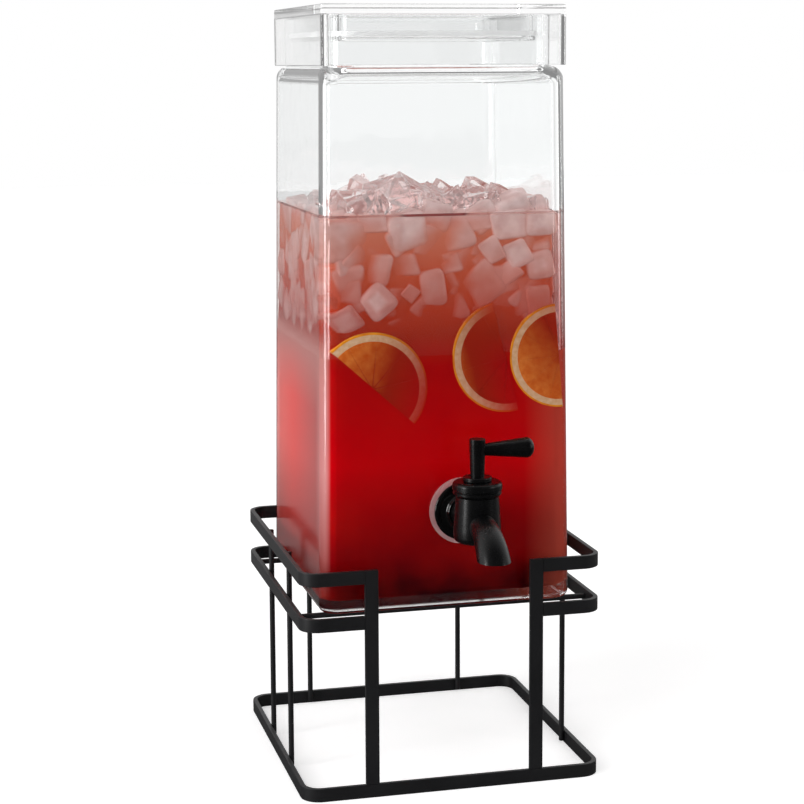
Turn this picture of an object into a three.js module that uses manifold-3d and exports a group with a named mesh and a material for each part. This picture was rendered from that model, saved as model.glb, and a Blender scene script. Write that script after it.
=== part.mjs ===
// Glass beverage dispenser: a square jar with a lift-off lid and a lever tap, standing in a welded bar stand.
// Millimetres, +Z up, front of the object towards -Y, base of the stand on Z = 0.
import * as THREE from 'three';
import { mergeVertices } from 'three/addons/utils/BufferGeometryUtils.js';
import Module from 'manifold-3d';

const wasm = await Module();
wasm.setup();

// Stand
const jarRoomInStand = 15.5;
const standCornerRadius = 12;
const barHeight = 8.4;
const barThickness = 3;
const middleRingBottom = 106.8;
const topRailBottom = 135.2;
const legOffset = 52.6;
const rodDiameter = 3.5;
const rodFootHeight = 1.5;
const sideRodOffset = 31;
const backRodOffset = 54;
const crossRodInset = 10.5;
const crossRodDrop = 4.6;

// Jar
const jarHalfAtBase = 80.5;
const jarTaperInset = 4;
const jarHeightToShoulder = 333.7;
const jarBaseEdge = 5;
const jarShoulderHeight = 6.5;
const jarWall = 4.5;
const jarBaseThickness = 8;
const jarCorner = 9;
const jarInnerCorner = 6;
const jarInnerBaseEdge = 4;
const neckInset = 5.5;
const neckHeight = 31.8;
const neckCorner = 15;
const neckWall = 4;
const rimEdge = 1.4;
const neckRootEdge = 1.2;

// Lid
const lidCorner = 2.4;
const lidSlab = 5.6;
const lidSkirtWall = 2.6;
const lidSkirtLength = 31;
const lidEdge = 0.7;
const plugClearance = 5;
const plugCorner = 11;
const plugWall = 2.4;
const plugDepth = 16;
const plugLip = 1.8;
const plugLipHeight = 2.6;
const lidSealHeight = 3.2;
const lidSealWall = 3.6;

// Tap
const tapOffset = 8.5;
const tapHeightAboveJarBase = 61.6;
const tapReach = 35;
const glassHoleRadius = 8.2;
const shankRadius = 7.7;
const shankClearance = 0.3;
const shankPastNut = 4;
const outerWasherRadius = 20.6;
const outerWasherThickness = 2.4;
const innerWasherRadius = 15;
const innerWasherThickness = 2.4;
const lockNutAcrossFlats = 26;
const lockNutThickness = 8;
const escutcheonRadius = 18.4;
const escutcheonDepth = 5;
const escutcheonSheet = 1.6;
const escutcheonHub = 10.5;
const collarRadius = 8.8;
const barrelBottomDrop = 11.8;
const barrelTopRise = 17;
const barrelTopRadius = 13.1;
const barrelLowRadius = 14.4;
const barrelLowRise = 5;
const barrelBottomEdge = 4;
const barrelNeckRadius = 11.8;
const barrelNeckHeight = 6;
const valveBoreRadius = 9.6;
const valveFloor = 3.4;
const inletBoreRadius = 4.6;
const spoutRootRadius = 7.9;
const spoutTipRadius = 10.7;
const spoutBoreRadius = 5.6;
const spoutRootReach = 6;
const spoutRootRise = 0.6;
const spoutBendReach = 33;
const spoutBendDrop = 2.6;
const spoutTipReach = 39.6;
const spoutTipDrop = 27;
const spoutCutDrop = 15.5;
const bonnetRadius = 15.1;
const bonnetTopPlate = 2.6;
const bonnetEdge = 2.2;
const bonnetClearance = 0.3;
const stemHoleRadius = 5.3;

// Lever and valve
const turningGap = 0.3;
const plugStemRadius = 5;
const driveSide = 4;
const driveHeight = 9.3;
const driveGap = 0.3;
const ringGrooveDepth = 2.1;
const ringGrooveHeight = 2.6;
const ringSection = 2;
const lowerRingRise = 9;
const upperRingRise = 15.5;
const stemDiscRadius = 8.75;
const stemDiscThickness = 2.5;
const postFootRadius = 4.25;
const postTopRadius = 4.9;
const postHeight = 22.9;
const postEdge = 0.4;
const armRise = 16.1;
const armRootRadius = 3.6;
const armTipRadius = 6.25;
const armReach = 35.4;
const armTipRound = 4.6;
const armTenonRadius = 2.4;
const armTenonDepth = 1;

// Long enough to run a cutting tool clear through the piece it cuts.
const cutPast = 2;

// Steps round a curve
const rodSides = 16;
const roundSides = 40;
const smallRoundSides = 28;
const cornerSteps = 7;
const edgeSteps = 4;
const tubeSides = 28;
const tubeSteps = 12;

const quarterTurn = Math.PI / 2;
const halfTurn = Math.PI;

// Sizes that follow from the ones above
const standHalfWidth = jarHalfAtBase + jarRoomInStand;
const crossRodOffset = jarHalfAtBase - crossRodInset;
const jarHalfAtShoulder = jarHalfAtBase - jarTaperInset;
const neckHalf = jarHalfAtShoulder - neckInset;
const lidHalf = jarHalfAtShoulder;
const plugHalf = neckHalf - neckWall - plugClearance;

// Heights that follow from the sizes above
const crossRodHeight = middleRingBottom + barHeight - crossRodDrop;
const jarBase = crossRodHeight + rodDiameter / 2;
const shoulderTop = jarBase + jarHeightToShoulder;
const rimTop = shoulderTop + neckHeight;
const tapHeight = jarBase + tapHeightAboveJarBase;
const taper = (jarHalfAtBase - jarHalfAtShoulder) / jarHeightToShoulder;
const jarHalfAt = (height) => jarHalfAtBase - taper * (height - jarBase);
const jarFace = -jarHalfAt(tapHeight);
const tapAxis = jarFace - tapReach;
const barrelBottom = tapHeight - barrelBottomDrop;
const barrelTop = tapHeight + barrelTopRise;
const valveFloorHeight = barrelBottom + valveFloor;
const bonnetUnderside = barrelTop + barrelNeckHeight;
const bonnetTop = bonnetUnderside + bonnetTopPlate;
const discBottom = bonnetTop + turningGap;
const postBottom = discBottom + stemDiscThickness;
const armHeight = postBottom + armRise;

// One closed body from a three.js geometry, with faces turned outwards.
function solidOf(geometry) {
  const plain = geometry.clone();
  plain.deleteAttribute('normal');
  plain.deleteAttribute('uv');
  const welded = mergeVertices(plain, turningGap / 1e4);
  const points = Float32Array.from(welded.attributes.position.array);
  const index = [];
  for (let i = 0; i < welded.index.count; i += 3) {
    const [a, b, c] = [0, 1, 2].map((k) => welded.index.getX(i + k));
    if (a !== b && b !== c && c !== a) index.push(a, b, c);
  }
  const build = (order) => new wasm.Manifold(
    new wasm.Mesh({ numProp: 3, vertProperties: points, triVerts: Uint32Array.from(order) }));
  const solid = build(index);
  if (solid.volume() > 0) return solid;
  return build(index.map((v, i) => index[i - (i % 3) + 2 - (i % 3)]));
}

function geometryOf(solid) {
  const mesh = solid.getMesh();
  const geometry = new THREE.BufferGeometry();
  const places = new Float32Array(mesh.numVert * 3);
  for (let i = 0; i < mesh.numVert; i += 1) {
    for (let k = 0; k < 3; k += 1) places[i * 3 + k] = mesh.vertProperties[i * mesh.numProp + k];
  }
  geometry.setAttribute('position', new THREE.BufferAttribute(places, 3));
  geometry.setIndex(Array.from(mesh.triVerts));
  geometry.computeVertexNormals();
  return geometry;
}

const join = (...solids) => solids.reduce((all, next) => all.add(next));
const cut = (solid, ...tools) => tools.reduce((left, tool) => left.subtract(tool), solid);

// A box given by its two ends along each axis.
function block(x, y, z) {
  const box = new THREE.BoxGeometry(x[1] - x[0], y[1] - y[0], z[1] - z[0]);
  box.translate((x[0] + x[1]) / 2, (y[0] + y[1]) / 2, (z[0] + z[1]) / 2);
  return solidOf(box);
}

// A round bar between two heights, standing on the point given.
function uprightBar(radius, bottom, top, x, y, sides, topRadius = radius) {
  const bar = new THREE.CylinderGeometry(topRadius, radius, top - bottom, sides);
  bar.rotateX(quarterTurn);
  bar.translate(x, y, (top + bottom) / 2);
  return solidOf(bar);
}

// A round bar lying along Y, between its front and back ends.
function barAlongDepth(radius, front, back, x, z, sides = smallRoundSides) {
  const bar = new THREE.CylinderGeometry(radius, radius, back - front, sides);
  bar.translate(x, (front + back) / 2, z);
  return solidOf(bar);
}

// A profile of [radius, height] points turned about the upright axis through the point given.
function turned(profile, x, y, sides = roundSides) {
  const lathe = new THREE.LatheGeometry(profile.map(([r, z]) => new THREE.Vector2(r, z)), sides);
  lathe.rotateX(quarterTurn);
  lathe.translate(x, y, 0);
  return solidOf(lathe);
}

// Points of a quarter round from one place to the next, bulging towards the corner between them.
function rounded(from, to, corner, steps = edgeSteps) {
  const points = [];
  for (let i = 0; i <= steps; i += 1) {
    const turn = (i / steps) * quarterTurn;
    points.push(from.map((value, k) => (
      value + (corner[k] - value) * Math.sin(turn) + (to[k] - corner[k]) * (1 - Math.cos(turn)))));
  }
  return points;
}

// A profile of [half width, height, corner radius] points carried round a square with rounded corners.
function squareTurned(profile) {
  const columns = 4 * cornerSteps;
  const lathe = new THREE.LatheGeometry(profile.map(([half, z]) => new THREE.Vector2(half, z)), columns);
  const places = lathe.attributes.position;
  for (let column = 0; column <= columns; column += 1) {
    const side = Math.floor(column / cornerSteps);
    const step = (column % cornerSteps) / (cornerSteps - 1);
    const angle = (side + step) * quarterTurn;
    const middle = (side + 1 / 2) * quarterTurn;
    profile.forEach(([half, height, corner], row) => {
      const radius = Math.min(corner, half);
      const reach = (half - radius) * Math.SQRT2;
      places.setXYZ(
        column * profile.length + row,
        reach * Math.sin(middle) + radius * Math.sin(angle),
        height,
        reach * Math.cos(middle) + radius * Math.cos(angle));
    });
  }
  lathe.rotateX(quarterTurn);
  return solidOf(lathe);
}

function roundedSquare(half, corner) {
  const shape = new THREE.Shape();
  const inner = half - corner;
  shape.absarc(inner, -inner, corner, -quarterTurn, 0);
  shape.absarc(inner, inner, corner, 0, quarterTurn);
  shape.absarc(-inner, inner, corner, quarterTurn, halfTurn);
  shape.absarc(-inner, -inner, corner, halfTurn, halfTurn + quarterTurn);
  return shape;
}

// Stand pieces

function squareRing(bottom) {
  const shape = roundedSquare(standHalfWidth, standCornerRadius);
  shape.holes.push(roundedSquare(standHalfWidth - barThickness, standCornerRadius - barThickness));
  const ring = new THREE.ExtrudeGeometry(shape, {
    depth: barHeight, bevelEnabled: false, curveSegments: cornerSteps,
  });
  ring.translate(0, 0, bottom);
  return solidOf(ring);
}

// The gap for the tap, between the two points given along the front bar.
function frontGap(halfGap, bottom) {
  return block(
    [-halfGap, halfGap],
    [-standHalfWidth - cutPast, -standHalfWidth + barThickness + cutPast],
    [bottom - cutPast, bottom + barHeight + cutPast]);
}

const baseRing = () => squareRing(0);

const middleRing = () => cut(
  squareRing(middleRingBottom), frontGap(legOffset + barHeight / 2, middleRingBottom));

const topRail = () => cut(squareRing(topRailBottom), frontGap(legOffset + barHeight / 2, topRailBottom));

function frontLeg(side) {
  const ends = [side * legOffset - barHeight / 2, side * legOffset + barHeight / 2];
  return block(ends, [-standHalfWidth, -standHalfWidth + barThickness], [barHeight, topRailBottom + barHeight]);
}

// The rod's flats face along X and Y, so that a whole flat lies against the bar that it is welded to.
function flatSidedRod(length) {
  const outer = rodDiameter / 2 / Math.cos(halfTurn / rodSides);
  const rod = new THREE.CylinderGeometry(outer, outer, length, rodSides);
  rod.rotateY(halfTurn / rodSides);
  return rod;
}

function uprightRod(x, y) {
  const top = topRailBottom + barHeight - rodFootHeight;
  const rod = flatSidedRod(top - rodFootHeight);
  rod.rotateX(quarterTurn);
  rod.translate(x, y, (top + rodFootHeight) / 2);
  return solidOf(rod);
}

const rodLine = standHalfWidth - barThickness - rodDiameter / 2;
const sideRod = (side, end) => uprightRod(side * rodLine, end * sideRodOffset);
const backRod = (side) => uprightRod(side * backRodOffset, rodLine);

function crossRod(end) {
  const rod = flatSidedRod((standHalfWidth - barThickness) * 2);
  rod.rotateZ(quarterTurn);
  rod.translate(0, end * crossRodOffset, crossRodHeight);
  return solidOf(rod);
}

// Jar pieces

function jarOutside() {
  const shoulderStart = shoulderTop - jarShoulderHeight;
  const start = jarHalfAt(shoulderStart);
  return squareTurned([
    [0, jarBase, 0],
    ...rounded([jarHalfAtBase - jarBaseEdge, jarBase, jarCorner],
      [jarHalfAt(jarBase + jarBaseEdge), jarBase + jarBaseEdge, jarCorner],
      [jarHalfAtBase, jarBase, jarCorner]),
    ...rounded([start, shoulderStart, jarCorner], [neckHalf + neckRootEdge, shoulderTop, neckCorner],
      [start, shoulderTop, neckCorner]),
    [neckHalf, shoulderTop + neckRootEdge, neckCorner],
    ...rounded([neckHalf, rimTop - rimEdge, neckCorner], [neckHalf - rimEdge, rimTop, neckCorner],
      [neckHalf, rimTop, neckCorner]),
    [0, rimTop, 0],
  ]);
}

function jarInside() {
  const floor = jarBase + jarBaseThickness;
  const wallTop = shoulderTop - jarShoulderHeight - jarWall;
  const low = jarHalfAt(floor) - jarWall;
  const high = jarHalfAt(wallTop) - jarWall;
  const neckInner = neckHalf - neckWall;
  const neckInnerCorner = neckCorner - neckWall;
  return squareTurned([
    [0, floor, 0],
    ...rounded([low - jarInnerBaseEdge, floor, jarInnerCorner],
      [jarHalfAt(floor + jarInnerBaseEdge) - jarWall, floor + jarInnerBaseEdge, jarInnerCorner],
      [low, floor, jarInnerCorner]),
    ...rounded([high, wallTop, jarInnerCorner], [neckInner, shoulderTop - neckWall, neckInnerCorner],
      [high, shoulderTop - neckWall, neckInnerCorner]),
    [neckInner, rimTop + cutPast, neckInnerCorner],
    [0, rimTop + cutPast, 0],
  ]);
}

function glassJar() {
  const hole = barAlongDepth(
    glassHoleRadius, jarFace - cutPast, jarFace + jarWall + cutPast, tapOffset, tapHeight, roundSides);
  return cut(jarOutside(), jarInside(), hole);
}

// Lid pieces

function lidShell() {
  const skirtBottom = rimTop - lidSkirtLength;
  const top = rimTop + lidSlab;
  const outside = squareTurned([
    [0, skirtBottom, 0],
    [lidHalf, skirtBottom, lidCorner],
    ...rounded([lidHalf, top - lidEdge, lidCorner], [lidHalf - lidEdge, top, lidCorner],
      [lidHalf, top, lidCorner]),
    [0, top, 0],
  ]);
  const skirtInner = lidHalf - lidSkirtWall;
  const hollow = squareTurned([
    [0, skirtBottom - cutPast, 0],
    [skirtInner, skirtBottom - cutPast, lidCorner],
    [skirtInner, rimTop, lidCorner],
    [0, rimTop, 0],
  ]);
  const plugBottom = rimTop - plugDepth;
  const lipHalf = plugHalf + plugLip;
  const lipCorner = plugCorner + plugLip;
  const plug = squareTurned([
    [0, plugBottom, 0],
    [lipHalf, plugBottom, lipCorner],
    [lipHalf, plugBottom + plugLipHeight, lipCorner],
    [plugHalf, plugBottom + plugLipHeight, plugCorner],
    [plugHalf, rimTop + lidSlab / 2, plugCorner],
    [0, rimTop + lidSlab / 2, 0],
  ]);
  const plugHollow = squareTurned([
    [0, plugBottom - cutPast, 0],
    [plugHalf - plugWall, plugBottom - cutPast, plugCorner - plugWall],
    [plugHalf - plugWall, rimTop, plugCorner - plugWall],
    [0, rimTop, 0],
  ]);
  return cut(join(cut(outside, hollow), plug), plugHollow);
}

function lidSeal() {
  const bottom = rimTop - plugDepth + plugLipHeight;
  const inner = plugHalf + turningGap;
  const innerCorner = plugCorner + turningGap;
  const ring = (half, corner, from, to) => squareTurned([
    [0, from, 0], [half, from, corner], [half, to, corner], [0, to, 0],
  ]);
  return cut(
    ring(inner + lidSealWall, innerCorner + lidSealWall, bottom, bottom + lidSealHeight),
    ring(inner, innerCorner, bottom - cutPast, bottom + lidSealHeight + cutPast));
}

// Tap pieces fixed to the jar. The soft washers take up the slope of the glass.

const outerWasherFront = jarFace - outerWasherThickness;
const escutcheonFront = outerWasherFront - escutcheonDepth;
const innerWasherBack = jarFace + jarWall + innerWasherThickness;

function outerWasher() {
  const disc = barAlongDepth(
    outerWasherRadius, outerWasherFront, jarFace + outerWasherThickness, tapOffset, tapHeight, roundSides);
  const hole = barAlongDepth(
    shankRadius + shankClearance, outerWasherFront - cutPast, jarFace + jarWall, tapOffset, tapHeight);
  return cut(disc, jarOutside(), hole);
}

function innerWasher() {
  const disc = barAlongDepth(
    innerWasherRadius, jarFace + jarWall / 2, innerWasherBack, tapOffset, tapHeight, roundSides);
  const hole = barAlongDepth(
    shankRadius + shankClearance, jarFace, innerWasherBack + cutPast, tapOffset, tapHeight);
  return cut(disc, hole).intersect(jarInside());
}

// A profile of [radius, distance in front of the back face] points turned about the shank's line.
function turnedOnShank(profile, back, sides = roundSides) {
  const lathe = new THREE.LatheGeometry(profile.map(([r, y]) => new THREE.Vector2(r, -y)), sides);
  lathe.translate(tapOffset, back, tapHeight);
  return solidOf(lathe);
}

function escutcheon() {
  const bore = shankRadius + shankClearance;
  return turnedOnShank([
    [bore, 0],
    [escutcheonRadius - escutcheonSheet, 0],
    ...rounded([escutcheonRadius, escutcheonSheet / 2], [escutcheonRadius - escutcheonSheet, escutcheonSheet],
      [escutcheonRadius, escutcheonSheet], 2),
    ...rounded([escutcheonRadius - escutcheonSheet * 2, escutcheonSheet], [escutcheonHub, escutcheonDepth],
      [escutcheonHub, escutcheonSheet]),
    [bore, escutcheonDepth],
    [bore, 0],
  ], outerWasherFront);
}

function lockNut() {
  const outer = lockNutAcrossFlats / 2 / Math.cos(halfTurn / 6);
  const nut = barAlongDepth(
    outer, innerWasherBack, innerWasherBack + lockNutThickness, tapOffset, tapHeight, 6);
  const hole = barAlongDepth(
    shankRadius + shankClearance, innerWasherBack - cutPast, innerWasherBack + lockNutThickness + cutPast,
    tapOffset, tapHeight);
  return cut(nut, hole);
}

// A round tube that follows the spout's bend, widening evenly from its root to its tip. It runs to a point at
// both ends, which are cut away.
function spoutTube(rootRadius, tipRadius) {
  const at = (reach, drop) => new THREE.Vector3(tapOffset, tapAxis - reach, tapHeight - drop);
  const bend = new THREE.QuadraticBezierCurve3(
    at(spoutRootReach, -spoutRootRise), at(spoutBendReach, spoutBendDrop), at(spoutTipReach, spoutTipDrop));
  const tube = new THREE.TubeGeometry(bend, tubeSteps, rootRadius, tubeSides);
  const places = tube.attributes.position;
  const corner = new THREE.Vector3();
  for (let ring = 0; ring <= tubeSteps; ring += 1) {
    const middle = bend.getPointAt(ring / tubeSteps);
    const radius = rootRadius + (tipRadius - rootRadius) * (ring / tubeSteps);
    const pointed = ring === 0 || ring === tubeSteps;
    for (let side = 0; side <= tubeSides; side += 1) {
      const place = ring * (tubeSides + 1) + side;
      corner.fromBufferAttribute(places, place).sub(middle);
      corner.multiplyScalar(pointed ? 0 : radius / rootRadius).add(middle);
      places.setXYZ(place, corner.x, corner.y, corner.z);
    }
  }
  return solidOf(tube);
}

function tapBody() {
  const barrel = turned([
    [0, barrelBottom],
    ...rounded([barrelLowRadius - barrelBottomEdge, barrelBottom],
      [barrelLowRadius, barrelBottom + barrelBottomEdge], [barrelLowRadius, barrelBottom]),
    [barrelLowRadius, barrelBottom + barrelBottomEdge + barrelLowRise],
    [barrelTopRadius, barrelTop],
    [barrelNeckRadius, barrelTop],
    [barrelNeckRadius, bonnetUnderside],
    [0, bonnetUnderside],
  ], tapOffset, tapAxis);
  const collar = barAlongDepth(collarRadius, tapAxis, escutcheonFront, tapOffset, tapHeight, roundSides);
  const shankEnd = innerWasherBack + lockNutThickness + shankPastNut;
  const shank = barAlongDepth(shankRadius, tapAxis, shankEnd, tapOffset, tapHeight);
  const spout = cut(
    spoutTube(spoutRootRadius, spoutTipRadius),
    block([tapOffset - spoutTipReach, tapOffset + spoutTipReach],
      [tapAxis - spoutTipReach * 2, tapAxis],
      [barrelBottom - spoutTipReach, tapHeight - spoutCutDrop]));
  const valveBore = uprightBar(
    valveBoreRadius, valveFloorHeight, bonnetUnderside + cutPast, tapOffset, tapAxis, roundSides);
  const inlet = barAlongDepth(inletBoreRadius, tapAxis, shankEnd + cutPast, tapOffset, tapHeight);
  const outlet = spoutTube(spoutBoreRadius, spoutBoreRadius);
  return cut(join(barrel, collar, shank, spout), valveBore, inlet, outlet);
}

function bonnet() {
  const inner = barrelNeckRadius + bonnetClearance;
  return turned([
    [inner, barrelTop],
    [bonnetRadius - bonnetEdge / 2, barrelTop],
    ...rounded([bonnetRadius, barrelTop + bonnetEdge / 2], [bonnetRadius, barrelTop + bonnetEdge],
      [bonnetRadius, barrelTop + bonnetEdge / 2], 1),
    ...rounded([bonnetRadius, bonnetTop - bonnetEdge], [bonnetRadius - bonnetEdge, bonnetTop],
      [bonnetRadius, bonnetTop]),
    [stemHoleRadius, bonnetTop],
    [stemHoleRadius, bonnetUnderside],
    [inner, bonnetUnderside],
    [inner, barrelTop],
  ], tapOffset, tapAxis);
}

// Pieces that turn with the lever

function squareDrive(side, bottom, top) {
  return block(
    [tapOffset - side / 2, tapOffset + side / 2], [tapAxis - side / 2, tapAxis + side / 2], [bottom, top]);
}

const grooveFloorRadius = valveBoreRadius - turningGap - ringGrooveDepth;

function valvePlug() {
  const radius = valveBoreRadius - turningGap;
  const bottom = valveFloorHeight + turningGap;
  const groove = (rise) => [
    [radius, tapHeight + rise],
    [grooveFloorRadius, tapHeight + rise],
    [grooveFloorRadius, tapHeight + rise + ringGrooveHeight],
    [radius, tapHeight + rise + ringGrooveHeight],
  ];
  const plug = turned([
    [0, bottom],
    [radius, bottom],
    ...groove(lowerRingRise),
    ...groove(upperRingRise),
    [radius, bonnetUnderside - turningGap],
    [plugStemRadius, bonnetUnderside - turningGap],
    [plugStemRadius, discBottom],
    [0, discBottom],
  ], tapOffset, tapAxis);
  const port = new THREE.CylinderGeometry(
    inletBoreRadius, inletBoreRadius, (radius + cutPast) * 2, smallRoundSides);
  port.rotateZ(quarterTurn);
  port.translate(tapOffset, tapAxis, tapHeight);
  return cut(join(plug, squareDrive(driveSide, discBottom - cutPast, discBottom + driveHeight)), solidOf(port));
}

// A rubber ring of eight-sided section, lying on the lower wall of its groove.
function stemRing(rise) {
  const middle = grooveFloorRadius + ringSection / 2;
  const reach = ringSection / 2 / Math.cos(halfTurn / 8);
  const profile = [];
  for (let i = 0; i <= 8; i += 1) {
    const turn = ((i % 8) + 1 / 2) * (quarterTurn / 2);
    profile.push([
      middle + reach * Math.cos(turn), tapHeight + rise + ringSection / 2 + reach * Math.sin(turn)]);
  }
  return turned(profile, tapOffset, tapAxis);
}

function stemDisc() {
  const disc = uprightBar(stemDiscRadius, discBottom, postBottom, tapOffset, tapAxis, roundSides);
  return cut(disc, squareDrive(driveSide + driveGap * 2, discBottom - cutPast, postBottom + cutPast));
}

function leverPost() {
  const top = postBottom + postHeight;
  const post = turned([
    [0, postBottom],
    [postFootRadius, postBottom],
    [postTopRadius, top - postEdge],
    [postTopRadius - postEdge, top],
    [0, top],
  ], tapOffset, tapAxis, smallRoundSides);
  const socket = squareDrive(driveSide + driveGap * 2, postBottom - cutPast, discBottom + driveHeight);
  const seat = barAlongWidth(
    armTenonRadius + driveGap, tapOffset - armTenonDepth, tapOffset + postTopRadius + cutPast);
  return cut(post, socket, seat);
}

function barAlongWidth(radius, from, to) {
  const bar = new THREE.CylinderGeometry(radius, radius, to - from, smallRoundSides);
  bar.rotateZ(quarterTurn);
  bar.translate((from + to) / 2, tapAxis, armHeight);
  return solidOf(bar);
}

function leverArm() {
  const profile = [
    [0, 0],
    [armRootRadius, 0],
    ...rounded([armTipRadius, armReach - armTipRound], [0, armReach], [armTipRadius, armReach], edgeSteps * 2),
  ];
  const lathe = new THREE.LatheGeometry(profile.map(([r, x]) => new THREE.Vector2(r, x)), smallRoundSides);
  lathe.rotateZ(-quarterTurn);
  lathe.translate(tapOffset, tapAxis, armHeight);
  const round = uprightBar(
    postTopRadius + driveGap, postBottom, postBottom + postHeight, tapOffset, tapAxis, smallRoundSides);
  const tenon = barAlongWidth(
    armTenonRadius, tapOffset - armTenonDepth, tapOffset + postTopRadius + armTenonRadius);
  return join(cut(solidOf(lathe), round), tenon);
}

// Materials

function finish(color, roughness, metalness, opacity = 1) {
  return new THREE.MeshStandardMaterial({
    color, roughness, metalness, opacity, transparent: opacity < 1,
  });
}

const blackPaintedSteel = () => finish('#1d1d1e', 0.55, 0.3);
const clearGlass = () => finish('#e4ecea', 0.05, 0, 0.3);
const clearAcrylic = () => finish('#eef2f2', 0.08, 0, 0.35);
const clearSilicone = () => finish('#e6dcda', 0.45, 0, 0.6);
const satinBlackPlastic = () => finish('#19191a', 0.45, 0);
const glossBlackPlastic = () => finish('#0c0c0d', 0.15, 0);
const whitePlastic = () => finish('#e2e0da', 0.4, 0);
const blackRubber = () => finish('#161616', 0.8, 0);

// Every piece under its own name

const assembly = new THREE.Group();
assembly.name = 'glass_beverage_dispenser';

function add(name, solid, material) {
  const mesh = new THREE.Mesh(geometryOf(solid), material);
  mesh.name = name;
  assembly.add(mesh);
}

add('stand_base_ring', baseRing(), blackPaintedSteel());
add('stand_middle_ring', middleRing(), blackPaintedSteel());
add('stand_top_rail', topRail(), blackPaintedSteel());
for (const [side, name] of [[-1, 'left'], [1, 'right']]) {
  add(`stand_front_leg_${name}`, frontLeg(side), blackPaintedSteel());
  add(`stand_rod_${name}_front`, sideRod(side, -1), blackPaintedSteel());
  add(`stand_rod_${name}_back`, sideRod(side, 1), blackPaintedSteel());
  add(`stand_rod_rear_${name}`, backRod(side), blackPaintedSteel());
}
add('stand_cross_rod_front', crossRod(-1), blackPaintedSteel());
add('stand_cross_rod_back', crossRod(1), blackPaintedSteel());
add('glass_jar', glassJar(), clearGlass());
add('tap_outer_washer', outerWasher(), clearSilicone());
add('tap_escutcheon', escutcheon(), glossBlackPlastic());
add('tap_body', tapBody(), satinBlackPlastic());
add('tap_inner_washer', innerWasher(), clearSilicone());
add('tap_lock_nut', lockNut(), satinBlackPlastic());
add('tap_bonnet', bonnet(), satinBlackPlastic());
add('valve_plug', valvePlug(), whitePlastic());
add('valve_ring_lower', stemRing(lowerRingRise), blackRubber());
add('valve_ring_upper', stemRing(upperRingRise), blackRubber());
add('lever_disc', stemDisc(), satinBlackPlastic());
add('lever_post', leverPost(), satinBlackPlastic());
add('lever_arm', leverArm(), satinBlackPlastic());
add('lid_shell', lidShell(), clearAcrylic());
add('lid_seal', lidSeal(), clearSilicone());

// The middle of the whole object's plan goes over the origin.
const reach = new THREE.Box3().setFromObject(assembly);
const shiftX = -(reach.min.x + reach.max.x) / 2;
const shiftY = -(reach.min.y + reach.max.y) / 2;
assembly.children.forEach((mesh) => mesh.geometry.translate(shiftX, shiftY, 0));

export default assembly;
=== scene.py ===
"""Glass beverage dispenser: the looks of its jar, lid, tap, stand and filling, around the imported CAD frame.

Metres, +Z up, front towards -Y, as in the frame.
"""

import math
import random

import bmesh
import bpy
from mathutils import Euler, Matrix, Vector


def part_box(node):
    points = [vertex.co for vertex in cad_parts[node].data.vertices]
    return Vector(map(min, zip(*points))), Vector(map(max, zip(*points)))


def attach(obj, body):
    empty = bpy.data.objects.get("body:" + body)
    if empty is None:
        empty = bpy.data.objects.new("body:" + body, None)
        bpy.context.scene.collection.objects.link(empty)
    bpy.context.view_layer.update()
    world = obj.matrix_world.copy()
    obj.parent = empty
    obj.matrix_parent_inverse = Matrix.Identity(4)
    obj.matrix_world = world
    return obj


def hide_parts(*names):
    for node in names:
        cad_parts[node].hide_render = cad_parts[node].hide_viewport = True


bl_info = {
    "name": "Glass Beverage Dispenser",
    "version": (1, 0, 0),
    "blender": (4, 5, 0),
    "location": "View3D > Sidebar > Dispenser",
    "description": "Models the visible pieces of a square glass drink dispenser",
    "category": "Object",
}

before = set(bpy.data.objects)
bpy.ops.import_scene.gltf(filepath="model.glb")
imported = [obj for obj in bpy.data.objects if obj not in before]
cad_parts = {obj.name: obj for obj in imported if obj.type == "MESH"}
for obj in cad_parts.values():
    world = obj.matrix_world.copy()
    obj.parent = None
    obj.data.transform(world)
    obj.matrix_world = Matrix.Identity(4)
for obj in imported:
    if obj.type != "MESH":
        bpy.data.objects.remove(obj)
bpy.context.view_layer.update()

MM = 0.001
QUARTER = math.pi / 2
TURN = math.pi * 2
NECK_HEIGHT = 31.8 * MM
FLOOR_ROUND = 4 * MM  # rounding of the jar's floor inside
BAR_EDGE = 0.4 * MM
SPOUT_STEPS = 14
ICE_ROWS, ICE_COLUMNS, SHARDS_BEHIND = 6, 9, 60


def span(node):
    """Lowest and highest corner of a CAD node, in metres."""
    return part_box(node)


jar_low, jar_high = span("glass_jar")
MIDDLE = Vector((0, (jar_low.y + jar_high.y) / 2, 0))
JAR_BASE = jar_low.z
RIM_TOP = jar_high.z
SHOULDER_TOP = RIM_TOP - NECK_HEIGHT
lid_low, lid_high = span("lid_shell")
base_low, base_high = span("stand_base_ring")
STAND_HALF = (base_high.x - base_low.x) / 2
bonnet_low, bonnet_high = span("tap_bonnet")
washer_low, washer_high = span("tap_outer_washer")
TAP_X = (bonnet_low.x + bonnet_high.x) / 2
TAP_Y = (bonnet_low.y + bonnet_high.y) / 2
TAP_Z = (washer_low.z + washer_high.z) / 2
SHANK_FRONT = washer_low.y
TAP_AXIS = Vector((TAP_X, TAP_Y, 0))
SHANK_AXIS = Vector((TAP_X, 0, TAP_Z))


def linear(code):
    """An sRGB hex colour as linear red, green, blue and alpha."""
    parts = [int(code[i:i + 2], 16) / 255 for i in (1, 3, 5)]
    return (*(p / 12.92 if p <= 0.04045 else ((p + 0.055) / 1.055) ** 2.4 for p in parts), 1.0)


# Sizes and colours a user would change

def length(name, text, default):
    return bpy.props.FloatProperty(name=name, description=text, default=default, unit="LENGTH", min=0.0)


def colour(name, text, code):
    return bpy.props.FloatVectorProperty(
        name=name, description=text, default=linear(code), size=4, subtype="COLOR", min=0.0, max=1.0)


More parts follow.
